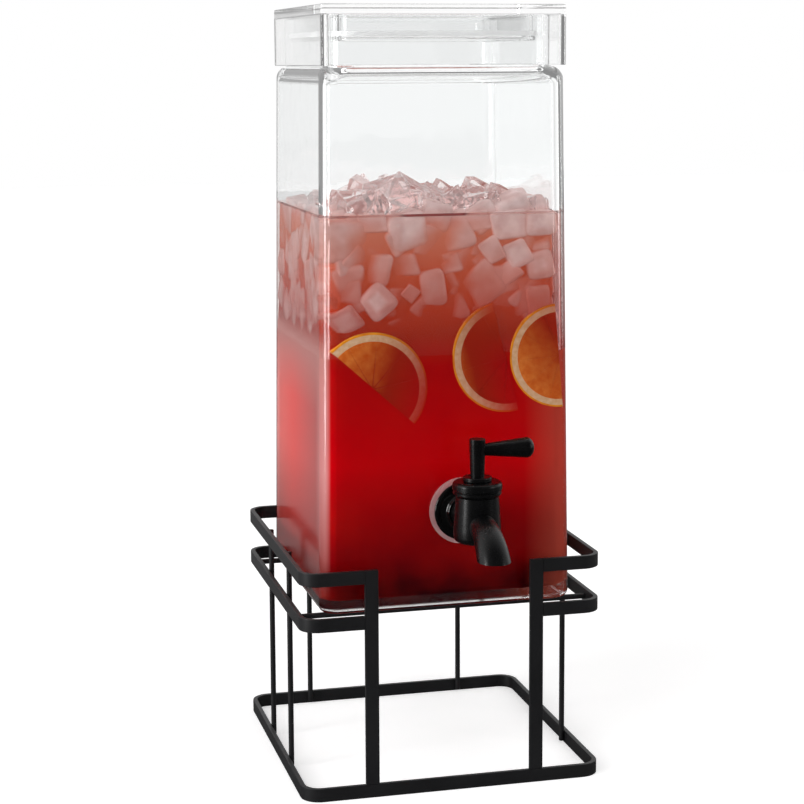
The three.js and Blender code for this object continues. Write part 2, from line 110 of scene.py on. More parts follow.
def lamp_strength(name, text, default):
    return bpy.props.FloatProperty(name=name, description=text, default=default, min=0.0)


class JarSizes(bpy.types.PropertyGroup):
    half_at_base: length("Half width at base", "Middle of the jar to its side, at the base", 80.5 * MM)
    half_at_shoulder: length("Half width at shoulder", "Middle of the jar to its side, at the top", 76.5 * MM)
    wall: length("Wall", "Thickness of the glass walls", 4.5 * MM)
    base_thickness: length("Base", "Thickness of the glass under the drink", 8 * MM)
    corner: length("Corner", "Rounding of the jar's upright edges", 9 * MM)
    inner_corner: length("Inner corner", "Rounding of the upright edges inside", 6 * MM)
    neck_half: length("Half width of neck", "Middle of the neck to its side", 71 * MM)
    neck_corner: length("Neck corner", "Rounding of the neck's upright edges", 15 * MM)
    tint: colour("Glass", "Colour of the soda-lime glass", "#FDFEFE")


class LidSizes(bpy.types.PropertyGroup):
    skirt_wall: length("Skirt wall", "Thickness of the lid's sides", 2.6 * MM)
    plug_half: length("Half width of plug", "Middle of the lid to the side of its plug", 62 * MM)
    plug_wall: length("Plug wall", "Thickness of the plug's sides", 2.4 * MM)
    tint: colour("Acrylic", "Colour of the clear moulding", "#FEFEFE")


class StandSizes(bpy.types.PropertyGroup):
    bar_height: length("Bar height", "Height of the flat bar", 8.4 * MM)
    bar_thickness: length("Bar thickness", "Thickness of the flat bar", 3 * MM)
    corner: length("Corner", "Outer radius of the bent corners", 12 * MM)
    leg_offset: length("Leg offset", "Middle of the stand to the middle of a front leg", 52.6 * MM)
    rod: length("Rod", "Diameter of the round rods", 3.5 * MM)
    steel: colour("Powder coat", "Colour of the coated steel", "#18181A")


class TapSizes(bpy.types.PropertyGroup):
    barrel_top: length("Barrel top radius", "Radius of the barrel under the bonnet", 13.1 * MM)
    barrel_low: length("Barrel low radius", "Radius of the barrel near its foot", 14.4 * MM)
    spout_root: length("Spout root radius", "Radius of the spout at the barrel", 7.9 * MM)
    spout_tip: length("Spout tip radius", "Radius of the spout beyond its mouth", 10.7 * MM)
    plastic: colour("Satin plastic", "Colour of the satin black moulding", "#0B0B0C")


class FillingSizes(bpy.types.PropertyGroup):
    level: length("Level", "Height of the drink's surface above the table", 357 * MM)
    ice_bottom: length("Ice reaches down to", "Height above the table", 284 * MM)
    slice_radius: length("Orange radius", "Radius of the orange slices", 35 * MM)
    ice_seed: bpy.props.IntProperty(name="Ice seed", description="Another pile of ice", default=11)


class StageSizes(bpy.types.PropertyGroup):
    floor: colour("Floor", "Colour of the plain floor", "#F4F4F4")
    key_light: lamp_strength("Key light", "Strength of the main lamp", 1.0)
    fill_light: lamp_strength("Fill light", "Strength of the second lamp", 0.6)
    room_light: lamp_strength("Room light", "Strength of the light from all round", 0.4)


# Modelling by hand, in steps

def deselect():
    if bpy.context.mode != "OBJECT":
        leave()
    bpy.context.tool_settings.mesh_select_mode = (True, False, False)
    bpy.ops.object.select_all(action="DESELECT")


def take(piece):
    deselect()
    piece.select_set(True)
    bpy.context.view_layer.objects.active = piece


def enter():
    """Goes on with the active piece in edit mode."""
    bpy.ops.object.mode_set(mode="EDIT")


def leave():
    bpy.ops.object.mode_set(mode="OBJECT")


def pick_all():
    bpy.ops.mesh.select_all(action="SELECT")


def edit(piece):
    """Enters edit mode on one piece, with all of it selected."""
    take(piece)
    enter()
    pick_all()


def pick(test, kind="FACE"):
    """Selects the faces, edges or vertices being edited that pass the test, and no others."""
    bpy.ops.mesh.select_mode(type="VERT")
    bpy.ops.mesh.select_all(action="DESELECT")
    bpy.ops.mesh.select_mode(type=kind)
    mesh = bmesh.from_edit_mesh(bpy.context.edit_object.data)
    for item in {"FACE": mesh.faces, "EDGE": mesh.edges, "VERT": mesh.verts}[kind]:
        if test(item):
            item.select_set(True)
    bmesh.update_edit_mesh(bpy.context.edit_object.data)


def extrude(step):
    bpy.ops.mesh.extrude_region_move(TRANSFORM_OT_translate={"value": step})


def named(name):
    piece = bpy.context.object
    piece.name = piece.data.name = name
    return piece


def apply_modifier(piece, kind, **settings):
    take(piece)
    modifier = piece.modifiers.new(kind.title(), kind)
    for key, value in settings.items():
        setattr(modifier, key, value)
    bpy.ops.object.modifier_apply(modifier=modifier.name)


def settle(piece):
    """Moves the piece's place, turn and size into its mesh."""
    take(piece)
    bpy.ops.object.transform_apply(location=True, rotation=True, scale=True)


def soften(piece, width, steps=2, angle=32):
    """Rounds the sharp edges."""
    apply_modifier(
        piece, "BEVEL", width=width, segments=steps, limit_method="ANGLE", angle_limit=math.radians(angle))


def dress(piece, angle, body, material=None, replaced=()):
    """Finishes a piece: smooth where its faces meet within the angle, flat elsewhere, with its material, the
    body that it rides on and the nodes that it stands for."""
    take(piece)
    bpy.ops.object.shade_smooth_by_angle(angle=math.radians(angle))
    apply_modifier(piece, "WEIGHTED_NORMAL", keep_sharp=True, weight=90)
    if material is not None:
        piece.data.materials.clear()
        piece.data.materials.append(material)
    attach(piece, body)
    if replaced:
        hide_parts(*replaced)


def remove(piece):
    bpy.data.meshes.remove(piece.data)


def combine(piece, tool, operation):
    """Joins the tool to the piece or cuts it away."""
    apply_modifier(piece, "BOOLEAN", object=tool, operation=operation, solver="EXACT")
    remove(tool)


def copy_of(piece, name):
    """A copy with its own mesh."""
    take(piece)
    bpy.ops.object.duplicate()
    return named(name)


def join_all(pieces, name):
    deselect()
    for piece in pieces:
        piece.select_set(True)
    bpy.context.view_layer.objects.active = pieces[0]
    bpy.ops.object.join()
    return named(name)


def tag_outline(number):
    """Marks the vertices of the outline just added with its number, which is 1 or more."""
    mesh = bmesh.from_edit_mesh(bpy.context.edit_object.data)
    layer = mesh.verts.layers.int.get("outline") or mesh.verts.layers.int.new("outline")
    for vertex in mesh.verts:
        if vertex[layer] == 0:
            vertex[layer] = number
    bmesh.update_edit_mesh(bpy.context.edit_object.data)


def pick_outlines(*numbers):
    mesh = bmesh.from_edit_mesh(bpy.context.edit_object.data)
    layer = mesh.verts.layers.int["outline"]
    chosen = {e.index for e in mesh.edges
              if e.verts[0][layer] == e.verts[1][layer] and e.verts[0][layer] in numbers}
    pick(lambda e: e.index in chosen, "EDGE")


def face_outwards():
    """Turns every face of the closed body being edited outwards."""
    pick_all()
    bpy.ops.mesh.normals_make_consistent(inside=False)
    if bmesh.from_edit_mesh(bpy.context.edit_object.data).calc_volume(signed=True) < 0:
        bpy.ops.mesh.flip_normals()


def square_outline(half, corner, height, steps):
    """A rounded square outline about the jar's middle."""
    bpy.ops.mesh.primitive_plane_add(size=half * 2, location=(MIDDLE.x, MIDDLE.y, height))
    enter()
    bpy.ops.mesh.bevel(offset=corner, affect="VERTICES", segments=steps)
    bpy.ops.mesh.delete(type="ONLY_FACE")


def round_outline(radius, place, tilt, steps):
    """A round outline at a place, tilted about X."""
    bpy.ops.mesh.primitive_circle_add(vertices=steps, radius=radius, location=place, rotation=(tilt, 0, 0))
    enter()


def loft(name, outlines, draw, steps, ring=False):
    """Bridges outlines in order into one closed body, whose ends are filled in, or joined for a ring."""
    deselect()
    for number, outline in enumerate(outlines, 1):
        draw(*outline, steps)
        tag_outline(number)
    count = len(outlines)
    pairs = [(number, number + 1) for number in range(1, count)]
    if ring:
        pairs.append((1, count))
    for pair in pairs:
        pick_outlines(*pair)
        bpy.ops.mesh.bridge_edge_loops()
    for number in () if ring else (1, count):
        pick_outlines(number)
        bpy.ops.mesh.edge_face_add()
    face_outwards()
    leave()
    piece = named(name)
    settle(piece)
    return piece


def quarter_round(start, end, corner, steps=5):
    """Steps of a quarter round from start to end, bulging towards the corner."""
    points = []
    for i in range(steps + 1):
        turn = i / steps * QUARTER
        points.append(tuple(
            s + (c - s) * math.sin(turn) + (e - c) * (1 - math.cos(turn))
            for s, e, c in zip(start, end, corner)))
    return points


def turned(name, profile, centre, axis="Z", steps=64, closed=False):
    """Draws a profile of (radius, distance along the axis) points and spins it round the axis. A closed
    profile makes a ring, and an open one begins and ends on the axis."""
    along = {"X": (1, 0, 0), "Y": (0, 1, 0), "Z": (0, 0, 1)}[axis]
    out = (0, 0, 1) if axis == "X" else (1, 0, 0)
    points = [centre + Vector(out) * radius + Vector(along) * distance for radius, distance in profile]
    deselect()
    bpy.ops.mesh.primitive_plane_add(size=MM, location=points[0])
    piece = named(name)
    enter()
    bpy.ops.mesh.merge(type="CENTER")
    for last, point in zip(points, points[1:]):
        extrude(point - last)
    if closed:
        pick(lambda v: v.index in (0, len(points) - 1), "VERT")
        bpy.ops.mesh.edge_face_add()
    pick_all()
    bpy.ops.mesh.spin(steps=steps, angle=TURN, center=centre, axis=along)
    pick_all()
    bpy.ops.mesh.remove_doubles(threshold=0.002 * MM)
    face_outwards()
    leave()
    settle(piece)
    return piece


def block(name, low, high, edge=0.0):
    """A cube stretched between two corners, with its edges rounded."""
    deselect()
    low, high = Vector(low), Vector(high)
    bpy.ops.mesh.primitive_cube_add(size=1, location=(low + high) / 2, scale=high - low)
    piece = named(name)
    settle(piece)
    if edge:
        edit(piece)
        bpy.ops.mesh.bevel(offset=edge, segments=2)
        leave()
    return piece


# Materials

def as_colour(tone):
    """A hex code, a grey level or a ready colour, as a linear colour."""
    if isinstance(tone, str):
        return linear(tone)
    return (tone, tone, tone, 1.0) if isinstance(tone, float) else tone


def shade(tone, share):
    """A linear colour made darker or lighter."""
    return (*(part * share for part in tone[:3]), 1.0)


def add_node(tree, kind, inputs=(), stops=(), **settings):
    """Adds a node with its settings and, on a ramp, its stops. An input, by place or name, gets a value, a
    hex colour, or a link from a socket or from the first open output of another node."""
    node = tree.nodes.new("ShaderNode" + kind)
    for key, value in settings.items():
        setattr(node, key, value)
    for key, value in (inputs.items() if isinstance(inputs, dict) else enumerate(inputs)):
        if isinstance(value, bpy.types.Node):
            value = next(output for output in value.outputs if output.enabled)
        if isinstance(value, bpy.types.NodeSocket):
            tree.links.new(value, node.inputs[key])
        else:
            node.inputs[key].default_value = linear(value) if isinstance(value, str) else value
    for _ in stops[2:]:
        node.color_ramp.elements.new(0.5)
    for number, (where, tone) in enumerate(stops):
        node.color_ramp.elements[number].position = where
        node.color_ramp.elements[number].color = as_colour(tone)
    return node


def finish(maker, *values):
    """The material that a maker describes by its shader's inputs: made once, and named for its maker."""
    name = maker.__name__
    if name in bpy.data.materials:
        return bpy.data.materials[name]
    material = bpy.data.materials.new(name)
    material.use_nodes = True
    tree = material.node_tree
    tree.nodes.clear()
    looks = maker(tree, add_node(tree, "TexCoord").outputs["Object"], *values)
    shader = add_node(tree, "BsdfPrincipled", looks)
    if "Transmission Weight" in looks:
        # Rays from lamps pass straight through clear pieces, so what is behind them is lit
        lamp_ray = add_node(tree, "LightPath").outputs["Is Shadow Ray"]
        clear = add_node(tree, "BsdfTransparent", {"Color": (0.97, 0.97, 0.97, 1)})
        shader = add_node(tree, "MixShader", (lamp_ray, shader, clear))
    add_node(tree, "OutputMaterial", {"Surface": shader})
    return material


def drift(tree, place, grain, detail, low, high, start=0.3, end=0.7):
    """Two tones, or two values, drifting into each other in blobs about one grain across."""
    blobs = add_node(tree, "TexNoise", {"Vector": place, "Scale": 1 / grain, "Detail": detail})
    if isinstance(low, float):
        return add_node(tree, "MapRange", (blobs, start, end, low, high))
    return add_node(tree, "ValToRGB", [blobs], [(start, low), (end, high)])


def rippled(tree, place, grain, detail, depth, strength):
    """The normals of a surface with ripples about one grain across."""
    ripples = add_node(tree, "TexNoise", {"Vector": place, "Scale": 1 / grain, "Detail": detail})
    return add_node(tree, "Bump", {"Strength": strength, "Distance": depth, "Height": ripples})


def fade(tree, value, low, high, first, second, start=0.0, end=1.0):
    """The first tone turning into the second as the value goes from low to high. Start and end are the second
    one's shares there."""
    share = add_node(tree, "MapRange", (value, low, high, start, end))
    return add_node(tree, "Mix", {0: share, 6: first, 7: second}, data_type="RGBA")


def caught_light(tree, level):
    """A painted glow: rays caught between the faces of clear walls end pale, as they do in a white room, and
    not black.
    """
    path = add_node(tree, "LightPath").outputs
    caught = add_node(tree, "Math", (path["Glossy Depth"], 2.5), operation="GREATER_THAN")
    ended = add_node(tree, "Math", (path["Transmission Depth"], 11.5), operation="GREATER_THAN")
    ended = add_node(tree, "Math", (ended, 0.85), operation="MULTIPLY")
    return add_node(tree, "Math", (caught, level, ended), operation="MULTIPLY_ADD")


def powder_coated_steel(tree, place, tone):
    """Mild steel bar, welded and powder coated: a dark satin skin with a very fine orange peel. Its peel is
    about 0.5 mm across and drawn at 0.8 mm, so that it shows."""
    peel = 0.8 * MM
    return {"Base Color": drift(tree, place, 40 * MM, 3, shade(tone, 0.82), shade(tone, 1.27)), "IOR": 1.5,
            "Roughness": drift(tree, place, peel, 2, 0.42, 0.55),
            "Normal": rippled(tree, place, peel, 2, 0.05 * MM, 0.5)}


def pressed_soda_lime_glass(tree, place, tone):
    """Pressed soda-lime glass, fire polished: clear, wavy across 28 mm, and misted by the cold drink."""
    level = bpy.context.scene.dispenser_filling.level
    height = add_node(tree, "SeparateXYZ", [place]).outputs["Z"]
    mist = add_node(tree, "MapRange", (height, level - 22 * MM, level + 8 * MM, 0.14, 0.0))
    return {"Base Color": tone, "Roughness": mist, "IOR": 1.52, "Transmission Weight": 1.0,
            "Normal": rippled(tree, place, 28 * MM, 1, 0.25 * MM, 0.25),
            "Emission Strength": caught_light(tree, 0.09)}


def moulded_acrylic(tree, place, tone):
    """Injection moulded acrylic: clear and glossy, with crisp edges and faint flow waves."""
    return {"Base Color": tone, "Roughness": 0.02, "IOR": 1.49, "Transmission Weight": 1.0,
            "Normal": rippled(tree, place, 16 * MM, 1, 0.1 * MM, 0.2),
            "Emission Strength": caught_light(tree, 0.08)}


def translucent_silicone(tree, place):
    """Moulded silicone rubber: milky, soft and slightly dusty."""
    return {"Base Color": drift(tree, place, 6 * MM, 3, "#EED2D2", "#F6E2E2"), "IOR": 1.41,
            "Roughness": drift(tree, place, 1.5 * MM, 2, 0.38, 0.55), "Transmission Weight": 0.8}


def clear_silicone(tree, place):
    """Clear moulded silicone, frosted and milky: the seal hardly shows in the lid."""
    return {"Base Color": drift(tree, place, 6 * MM, 3, "#F4F4F4", "#FDFDFD"), "IOR": 1.41,
            "Roughness": drift(tree, place, 1.5 * MM, 2, 0.08, 0.16), "Transmission Weight": 0.4}


def satin_black_abs(tree, place, tone):
    """ABS from a finely eroded mould: satin black, with a faint grain of 0.4 mm drawn at 0.7 mm."""
    grain = 0.7 * MM
    return {"Base Color": drift(tree, place, 12 * MM, 2, shade(tone, 0.56), tone), "IOR": 1.54,
            "Roughness": drift(tree, place, grain, 2, 0.25, 0.34), "Specular IOR Level": 0.3,
            "Normal": rippled(tree, place, grain, 2, 0.02 * MM, 0.5)}


def gloss_black_abs(tree, place):
    """ABS from a polished mould: deep black that mirrors the lamps, with faint rubbing marks."""
    return {"Base Color": drift(tree, place, 10 * MM, 2, "#040404", "#070707"), "IOR": 1.54,
            "Roughness": drift(tree, place, 3 * MM, 4, 0.06, 0.14)}


def natural_acetal(tree, place):
    """Machined acetal: an off-white, waxy plastic."""
    return {"Base Color": drift(tree, place, 8 * MM, 2, "#DAD7CE", "#E6E4DC"), "IOR": 1.48,
            "Roughness": drift(tree, place, 1 * MM, 2, 0.35, 0.5)}


def nitrile_rubber(tree, place):
    """Moulded nitrile rubber: dull black."""
    return {"Base Color": drift(tree, place, 2 * MM, 2, "#121212", "#1B1B1B"), "IOR": 1.52,
            "Roughness": drift(tree, place, 0.8 * MM, 2, 0.65, 0.85)}


def inner_wall(tree, height):
    """Middle of the jar to the inside of its wall, at a height."""
    jar = bpy.context.scene.dispenser_jar
    halves = (jar.half_at_base - jar.wall, jar.half_at_shoulder - jar.wall)
    return add_node(tree, "MapRange", (height, JAR_BASE, SHOULDER_TOP, *halves))


def behind_glass(tree, place):
    """Distance from the inner wall of the jar, and height above the table, in metres."""
    x, y, height = add_node(tree, "SeparateXYZ", [place]).outputs
    across = add_node(tree, "Math", [x], operation="ABSOLUTE")
    depth = add_node(tree, "Math", (y, MIDDLE.y), operation="SUBTRACT")
    depth = add_node(tree, "Math", [depth], operation="ABSOLUTE")
    reach = add_node(tree, "Math", (across, depth), operation="MAXIMUM")
    return add_node(tree, "Math", (inner_wall(tree, height), reach), operation="SUBTRACT"), height


def painted_glow_inside(tree, tones, share):
    """A painted glow: part of the colour is given off as light, standing in for light scattered inside a
    cloudy body, so its gaps and edges don't go dark.
    """
    return {"Base Color": add_node(tree, "Mix", {0: share, 6: tones, 7: "#000000"}, data_type="RGBA"),
            "Emission Color": tones,
            "Emission Strength": add_node(tree, "Math", (share, 0.95), operation="MULTIPLY")}


# The drink's colours by height, from the foot of the jar at 0 to the drink's surface at 1; its darkening
# towards the foot is painted shade
PUNCH_AND_SHADE_TONES = [
    (0.0, "#280004"), (0.04, "#420005"), (0.1, "#740007"), (0.2, "#980008"), (0.35, "#C2000A"),
    (0.6, "#A40309"), (0.68, "#98240F"), (0.74, "#AA341A"), (0.84, "#B84E32"), (0.94, "#C47058"),
    (1.0, "#CC9088")]
# Painted light on its side towards the window: its colours from the front of the jar at 0 to its back at 1
WINDOW_SIDE_PAINTED_LIGHT = [
    (0.0, "#C09492"), (0.12, "#AC5654"), (0.4, "#C85450"), (0.6, "#DA524C"), (0.9, "#DA6C66"),
    (1.0, "#E2B4B0")]
# How much of the drink's red covers the ice, from the lowest ice at 0 to the drink's surface at 1
RED_OVER_ICE = [(0.0, 1.0), (0.15, 0.94), (0.35, 0.85), (0.6, 0.68), (0.85, 0.45), (1.0, 0.3)]
# What a mesh notes at each point: how far fruit has sunk into the drink, and how frosty ice is
SUNK = "sunk_in_drink"
FROST = "frost"


def punch_and_shade_by_height(tree, height):
    """The drink's colour: near black at the foot of the jar, where shade is painted into it, red above, and
    paler among the ice.
    """
    foot, surface = 120 * MM, bpy.context.scene.dispenser_filling.level + 3 * MM
    return add_node(tree, "ValToRGB", [add_node(tree, "MapRange", (height, foot, surface))], PUNCH_AND_SHADE_TONES)


def fruit_punch(tree, place):
    """Cloudy red fruit punch with pulp in it. It touches the glass, so it has no sheen of its own."""
    across, ahead, height = add_node(tree, "SeparateXYZ", [place]).outputs
    ice = bpy.context.scene.dispenser_filling.ice_bottom
    pulp = drift(tree, place, 45 * MM, 3, 0.0, 0.3, 0.4, 0.7)
    below_ice = add_node(tree, "MapRange", (height, ice - 22 * MM, ice, 1.0, 0.0))
    cloud = add_node(tree, "Math", (pulp, below_ice), operation="MULTIPLY")
    tones = punch_and_shade_by_height(tree, height)
    tones = add_node(tree, "Mix", {0: cloud, 6: tones, 7: "#C0170E"}, data_type="RGBA")
    # Painted light: the side towards the window is painted lit in three broad bands and painted darker
    # towards the foot, and a painted reflection makes the far edge of the front paler
    reach = bpy.context.scene.dispenser_jar.half_at_shoulder - 0.5 * MM
    back = add_node(tree, "MapRange", (ahead, MIDDLE.y - reach, MIDDLE.y + reach))
    glow = add_node(tree, "ValToRGB", [back], WINDOW_SIDE_PAINTED_LIGHT)
    glow = fade(tree, height, 125 * MM, 200 * MM, "#7E1E18", glow)
    glow = fade(tree, height, ice - 49 * MM, ice - 9 * MM, glow, "#B4807A")
    depth = add_node(tree, "Math", (across, inner_wall(tree, height)), operation="ADD")
    tones = fade(tree, depth, 0.4 * MM, 2.5 * MM, tones, glow, 0.9, 0.0)
    tones = fade(tree, across, 50 * MM, 72 * MM, tones, "#B4503F", 0.0, 0.6)
    # Painted glow: among the ice, up to half of the drink's colour is given off as light
    share = add_node(tree, "MapRange", (height, ice - 22 * MM, ice, 0.0, 0.5))
    return {**painted_glow_inside(tree, tones, share), "Roughness": 0.3, "IOR": 1.34, "Specular IOR Level": 0.0}


def meniscus_punch(tree, place):
    """The thin line where the drink climbs the glass: dark with painted shade in places, and clear in others.
    """
    patches = add_node(tree, "TexNoise", {"Vector": place, "Scale": 1 / (30 * MM), "Detail": 2})
    tones = [(0.4, "#8E4A48"), (0.5, "#F0D8D4"), (1.0, "#FAEEEC")]
    return {"Base Color": add_node(tree, "ValToRGB", [patches], tones), "Roughness": 0.2, "IOR": 1.34,
            "Transmission Weight": add_node(tree, "MapRange", (patches, 0.38, 0.46))}


def liquid_among_ice(tree, place):
    """Clear pink drink between the glass and the ice, whose own colour has the redness that comes with depth.
    Along the right-hand edge the eye looks through more of it, and it is redder towards the bottom."""
    across, _, height = add_node(tree, "SeparateXYZ", [place]).outputs
    filling = bpy.context.scene.dispenser_filling
    rise = add_node(tree, "MapRange", (height, filling.ice_bottom - 16 * MM, filling.level))
    edge = add_node(tree, "ValToRGB", [rise], [(0.0, "#C84840"), (0.35, "#DC8A84"), (1.0, "#F4E0DE")])
    depth = add_node(tree, "Math", (inner_wall(tree, height), across), operation="SUBTRACT")
    return {"Base Color": fade(tree, depth, 0.4 * MM, 3 * MM, "#FFF1EE", edge, 1.0, 0.0), "Roughness": 0.0,
            "IOR": 1.34, "Transmission Weight": 1.0, "Emission Strength": caught_light(tree, 0.1),
            "Normal": rippled(tree, place, 18 * MM, 2, 0.3 * MM, 0.3)}


def steeped(tree, place, tone):
    """A colour seen through the drink: redder the deeper it lies behind the glass and the lower it is."""
    filling = bpy.context.scene.dispenser_filling
    depth, height = behind_glass(tree, place)
    deep = add_node(tree, "MapRange", (depth, 0.6 * MM, 3.4 * MM, 0.04, 0.95))
    rise = add_node(tree, "MapRange", (height, filling.ice_bottom - 8 * MM, filling.level - 7 * MM))
    red = add_node(tree, "ValToRGB", [rise], RED_OVER_ICE)
    frost = add_node(tree, "Attribute", attribute_name=FROST).outputs["Fac"]
    frost = add_node(tree, "MapRange", (frost, 0, 1, 1.0, 0.25))
    red = add_node(tree, "Math", (red, frost), operation="MULTIPLY")
    veil = add_node(tree, "Math", (deep, red), operation="MAXIMUM")
    above = add_node(tree, "MapRange", (height, filling.level - 5 * MM, filling.level + 5 * MM, 1.0, 0.15))
    veil = add_node(tree, "Math", (veil, above), operation="MULTIPLY", use_clamp=True)
    return add_node(tree, "Mix", {0: veil, 6: tone, 7: punch_and_shade_by_height(tree, height)}, data_type="RGBA")


def wet_ice(tree, place):
    """Tray-frozen ice with a cloudy middle, wet with the drink."""
    level = bpy.context.scene.dispenser_filling.level
    cloud = drift(tree, place, 11 * MM, 3, "#B89894", "#E4CECC", 0.25, 0.75)
    height = behind_glass(tree, place)[1]
    # Painted glow: half of the ice's colour is given off as light in the drink, and less above it
    share = add_node(tree, "MapRange", (height, level - 2 * MM, level + 8 * MM, 0.5, 0.3))
    return {**painted_glow_inside(tree, steeped(tree, place, cloud), share), "Roughness": 0.3, "IOR": 1.31,
            "Specular IOR Level": 0.1, "Normal": rippled(tree, place, 5 * MM, 2, 0.5 * MM, 0.3)}


def melting_ice(tree, place):
    """Clear ice that stands out of the drink."""
    return {"Base Color": "#F6ECEB", "Roughness": 0.05, "IOR": 1.31, "Transmission Weight": 0.95,
            "Normal": rippled(tree, place, 4 * MM, 2, 0.8 * MM, 0.5),
            "Emission Strength": caught_light(tree, 0.3)}


def sunk(tree, place, tone, strength, halfway=None):
    """A colour of fruit that sinks into the drink, as far as the mesh's own attribute says."""
    veil = add_node(tree, "Attribute", attribute_name=SUNK).outputs["Fac"]
    veil = add_node(tree, "Math", (veil, 1 / strength), operation="POWER")
    if halfway:
        tone = fade(tree, veil, 0, 0.6, tone, halfway)
    punch = punch_and_shade_by_height(tree, behind_glass(tree, place)[1])
    return fade(tree, veil, 0.6 if halfway else 0, 1, tone, punch)


def orange_rind(tree, place):
    """Orange peel: oily and dimpled about every 1.2 mm."""
    tones = drift(tree, place, 7 * MM, 2, "#CE7814", "#E49A28")
    return {"Base Color": sunk(tree, place, tones, 0.9), "Roughness": 0.35, "IOR": 1.46,
            "Specular IOR Level": 0.1, "Normal": rippled(tree, place, 1.2 * MM, 1, 0.3 * MM, 0.5)}


def orange_pith(tree, place):
    """The spongy layer under the peel, stained by the drink."""
    tones = drift(tree, place, 3 * MM, 3, "#C8A076", "#DABC9A")
    return {"Base Color": sunk(tree, place, tones, 0.9), "Roughness": 0.6, "IOR": 1.4,
            "Specular IOR Level": 0.1, "Normal": rippled(tree, place, 1 * MM, 2, 0.2 * MM, 0.5)}


def orange_pulp(tree, place):
    """Juice sacs, wet and a little see-through, stained by the drink."""
    tones = drift(tree, place, 5 * MM, 3, "#CC6420", "#E2883A")
    return {"Base Color": sunk(tree, place, tones, 1.5, "#96200C"), "Roughness": 0.3, "IOR": 1.36,
            "Specular IOR Level": 0.1, "Normal": rippled(tree, place, 2 * MM, 2, 0.4 * MM, 0.4)}


def repaint(node, material):
    """Gives a CAD node that stays in the scene its better material."""
    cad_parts[node].material_slots[0].material = material


def steel():
    return finish(powder_coated_steel, tuple(bpy.context.scene.dispenser_stand.steel))


def satin():
    return finish(satin_black_abs, tuple(bpy.context.scene.dispenser_tap.plastic))


# Jar

def jar_half(height):
    jar = bpy.context.scene.dispenser_jar
    share = (height - JAR_BASE) / (SHOULDER_TOP - JAR_BASE)
    return jar.half_at_base + (jar.half_at_shoulder - jar.half_at_base) * share


def inner_half(height):
    return jar_half(height) - bpy.context.scene.dispenser_jar.wall


class DISPENSER_OT_jar(bpy.types.Operator):
    """Glass jar: one wall that runs up the outside, over the rim and down the inside, with the tap's hole"""
    bl_idname = "dispenser.jar"
    bl_label = "Jar"

    def execute(self, context):
        jar = context.scene.dispenser_jar
        edge, shoulder, neck_wall, flare = 5 * MM, 6.5 * MM, 4 * MM, 1.2 * MM
        hole, hole_depth = 8.2 * MM, 30 * MM
        floor = JAR_BASE + jar.base_thickness
        start = SHOULDER_TOP - shoulder
        top, ceiling = start - jar.wall, SHOULDER_TOP - neck_wall
        outer, inner, turn = jar.corner, jar.inner_corner, jar.neck_corner
        inner_turn = turn - neck_wall
        neck, bore, lip = jar.neck_half, jar.neck_half - neck_wall, neck_wall / 2
        crest = (neck - lip, turn - lip, RIM_TOP)
        outlines = [
            *quarter_round((jar.half_at_base - edge, outer, JAR_BASE),
                           (jar_half(JAR_BASE + edge), outer, JAR_BASE + edge),
                           (jar.half_at_base, outer, JAR_BASE)),
            *quarter_round((jar_half(start), outer, start), (neck + flare, turn, SHOULDER_TOP),
                           (jar_half(start), turn, SHOULDER_TOP), 8),
            (neck, turn, SHOULDER_TOP + flare),
            *quarter_round((neck, turn, RIM_TOP - lip), crest, (neck, turn, RIM_TOP)),
            *quarter_round(crest, (bore, inner_turn, RIM_TOP - lip), (bore, inner_turn, RIM_TOP))[1:],
            *quarter_round((bore, inner_turn, ceiling), (inner_half(top), inner, top),
                           (inner_half(top), inner, ceiling), 6),
            *quarter_round((inner_half(floor + FLOOR_ROUND), inner, floor + FLOOR_ROUND),
                           (inner_half(floor) - FLOOR_ROUND, inner, floor),
                           (inner_half(floor), inner, floor)),
        ]
        piece = loft("jar_pressed_glass", outlines, square_outline, 12)
        deselect()
        bpy.ops.mesh.primitive_cylinder_add(
            vertices=48, radius=hole, depth=hole_depth, location=(TAP_X, SHANK_FRONT, TAP_Z),
            rotation=(QUARTER, 0, 0))
        drill = named("hole_tool")
        settle(drill)
        combine(piece, drill, "DIFFERENCE")
        dress(piece, 30, "jar", finish(pressed_soda_lime_glass, tuple(jar.tint)), ["glass_jar"])
        return {"FINISHED"}


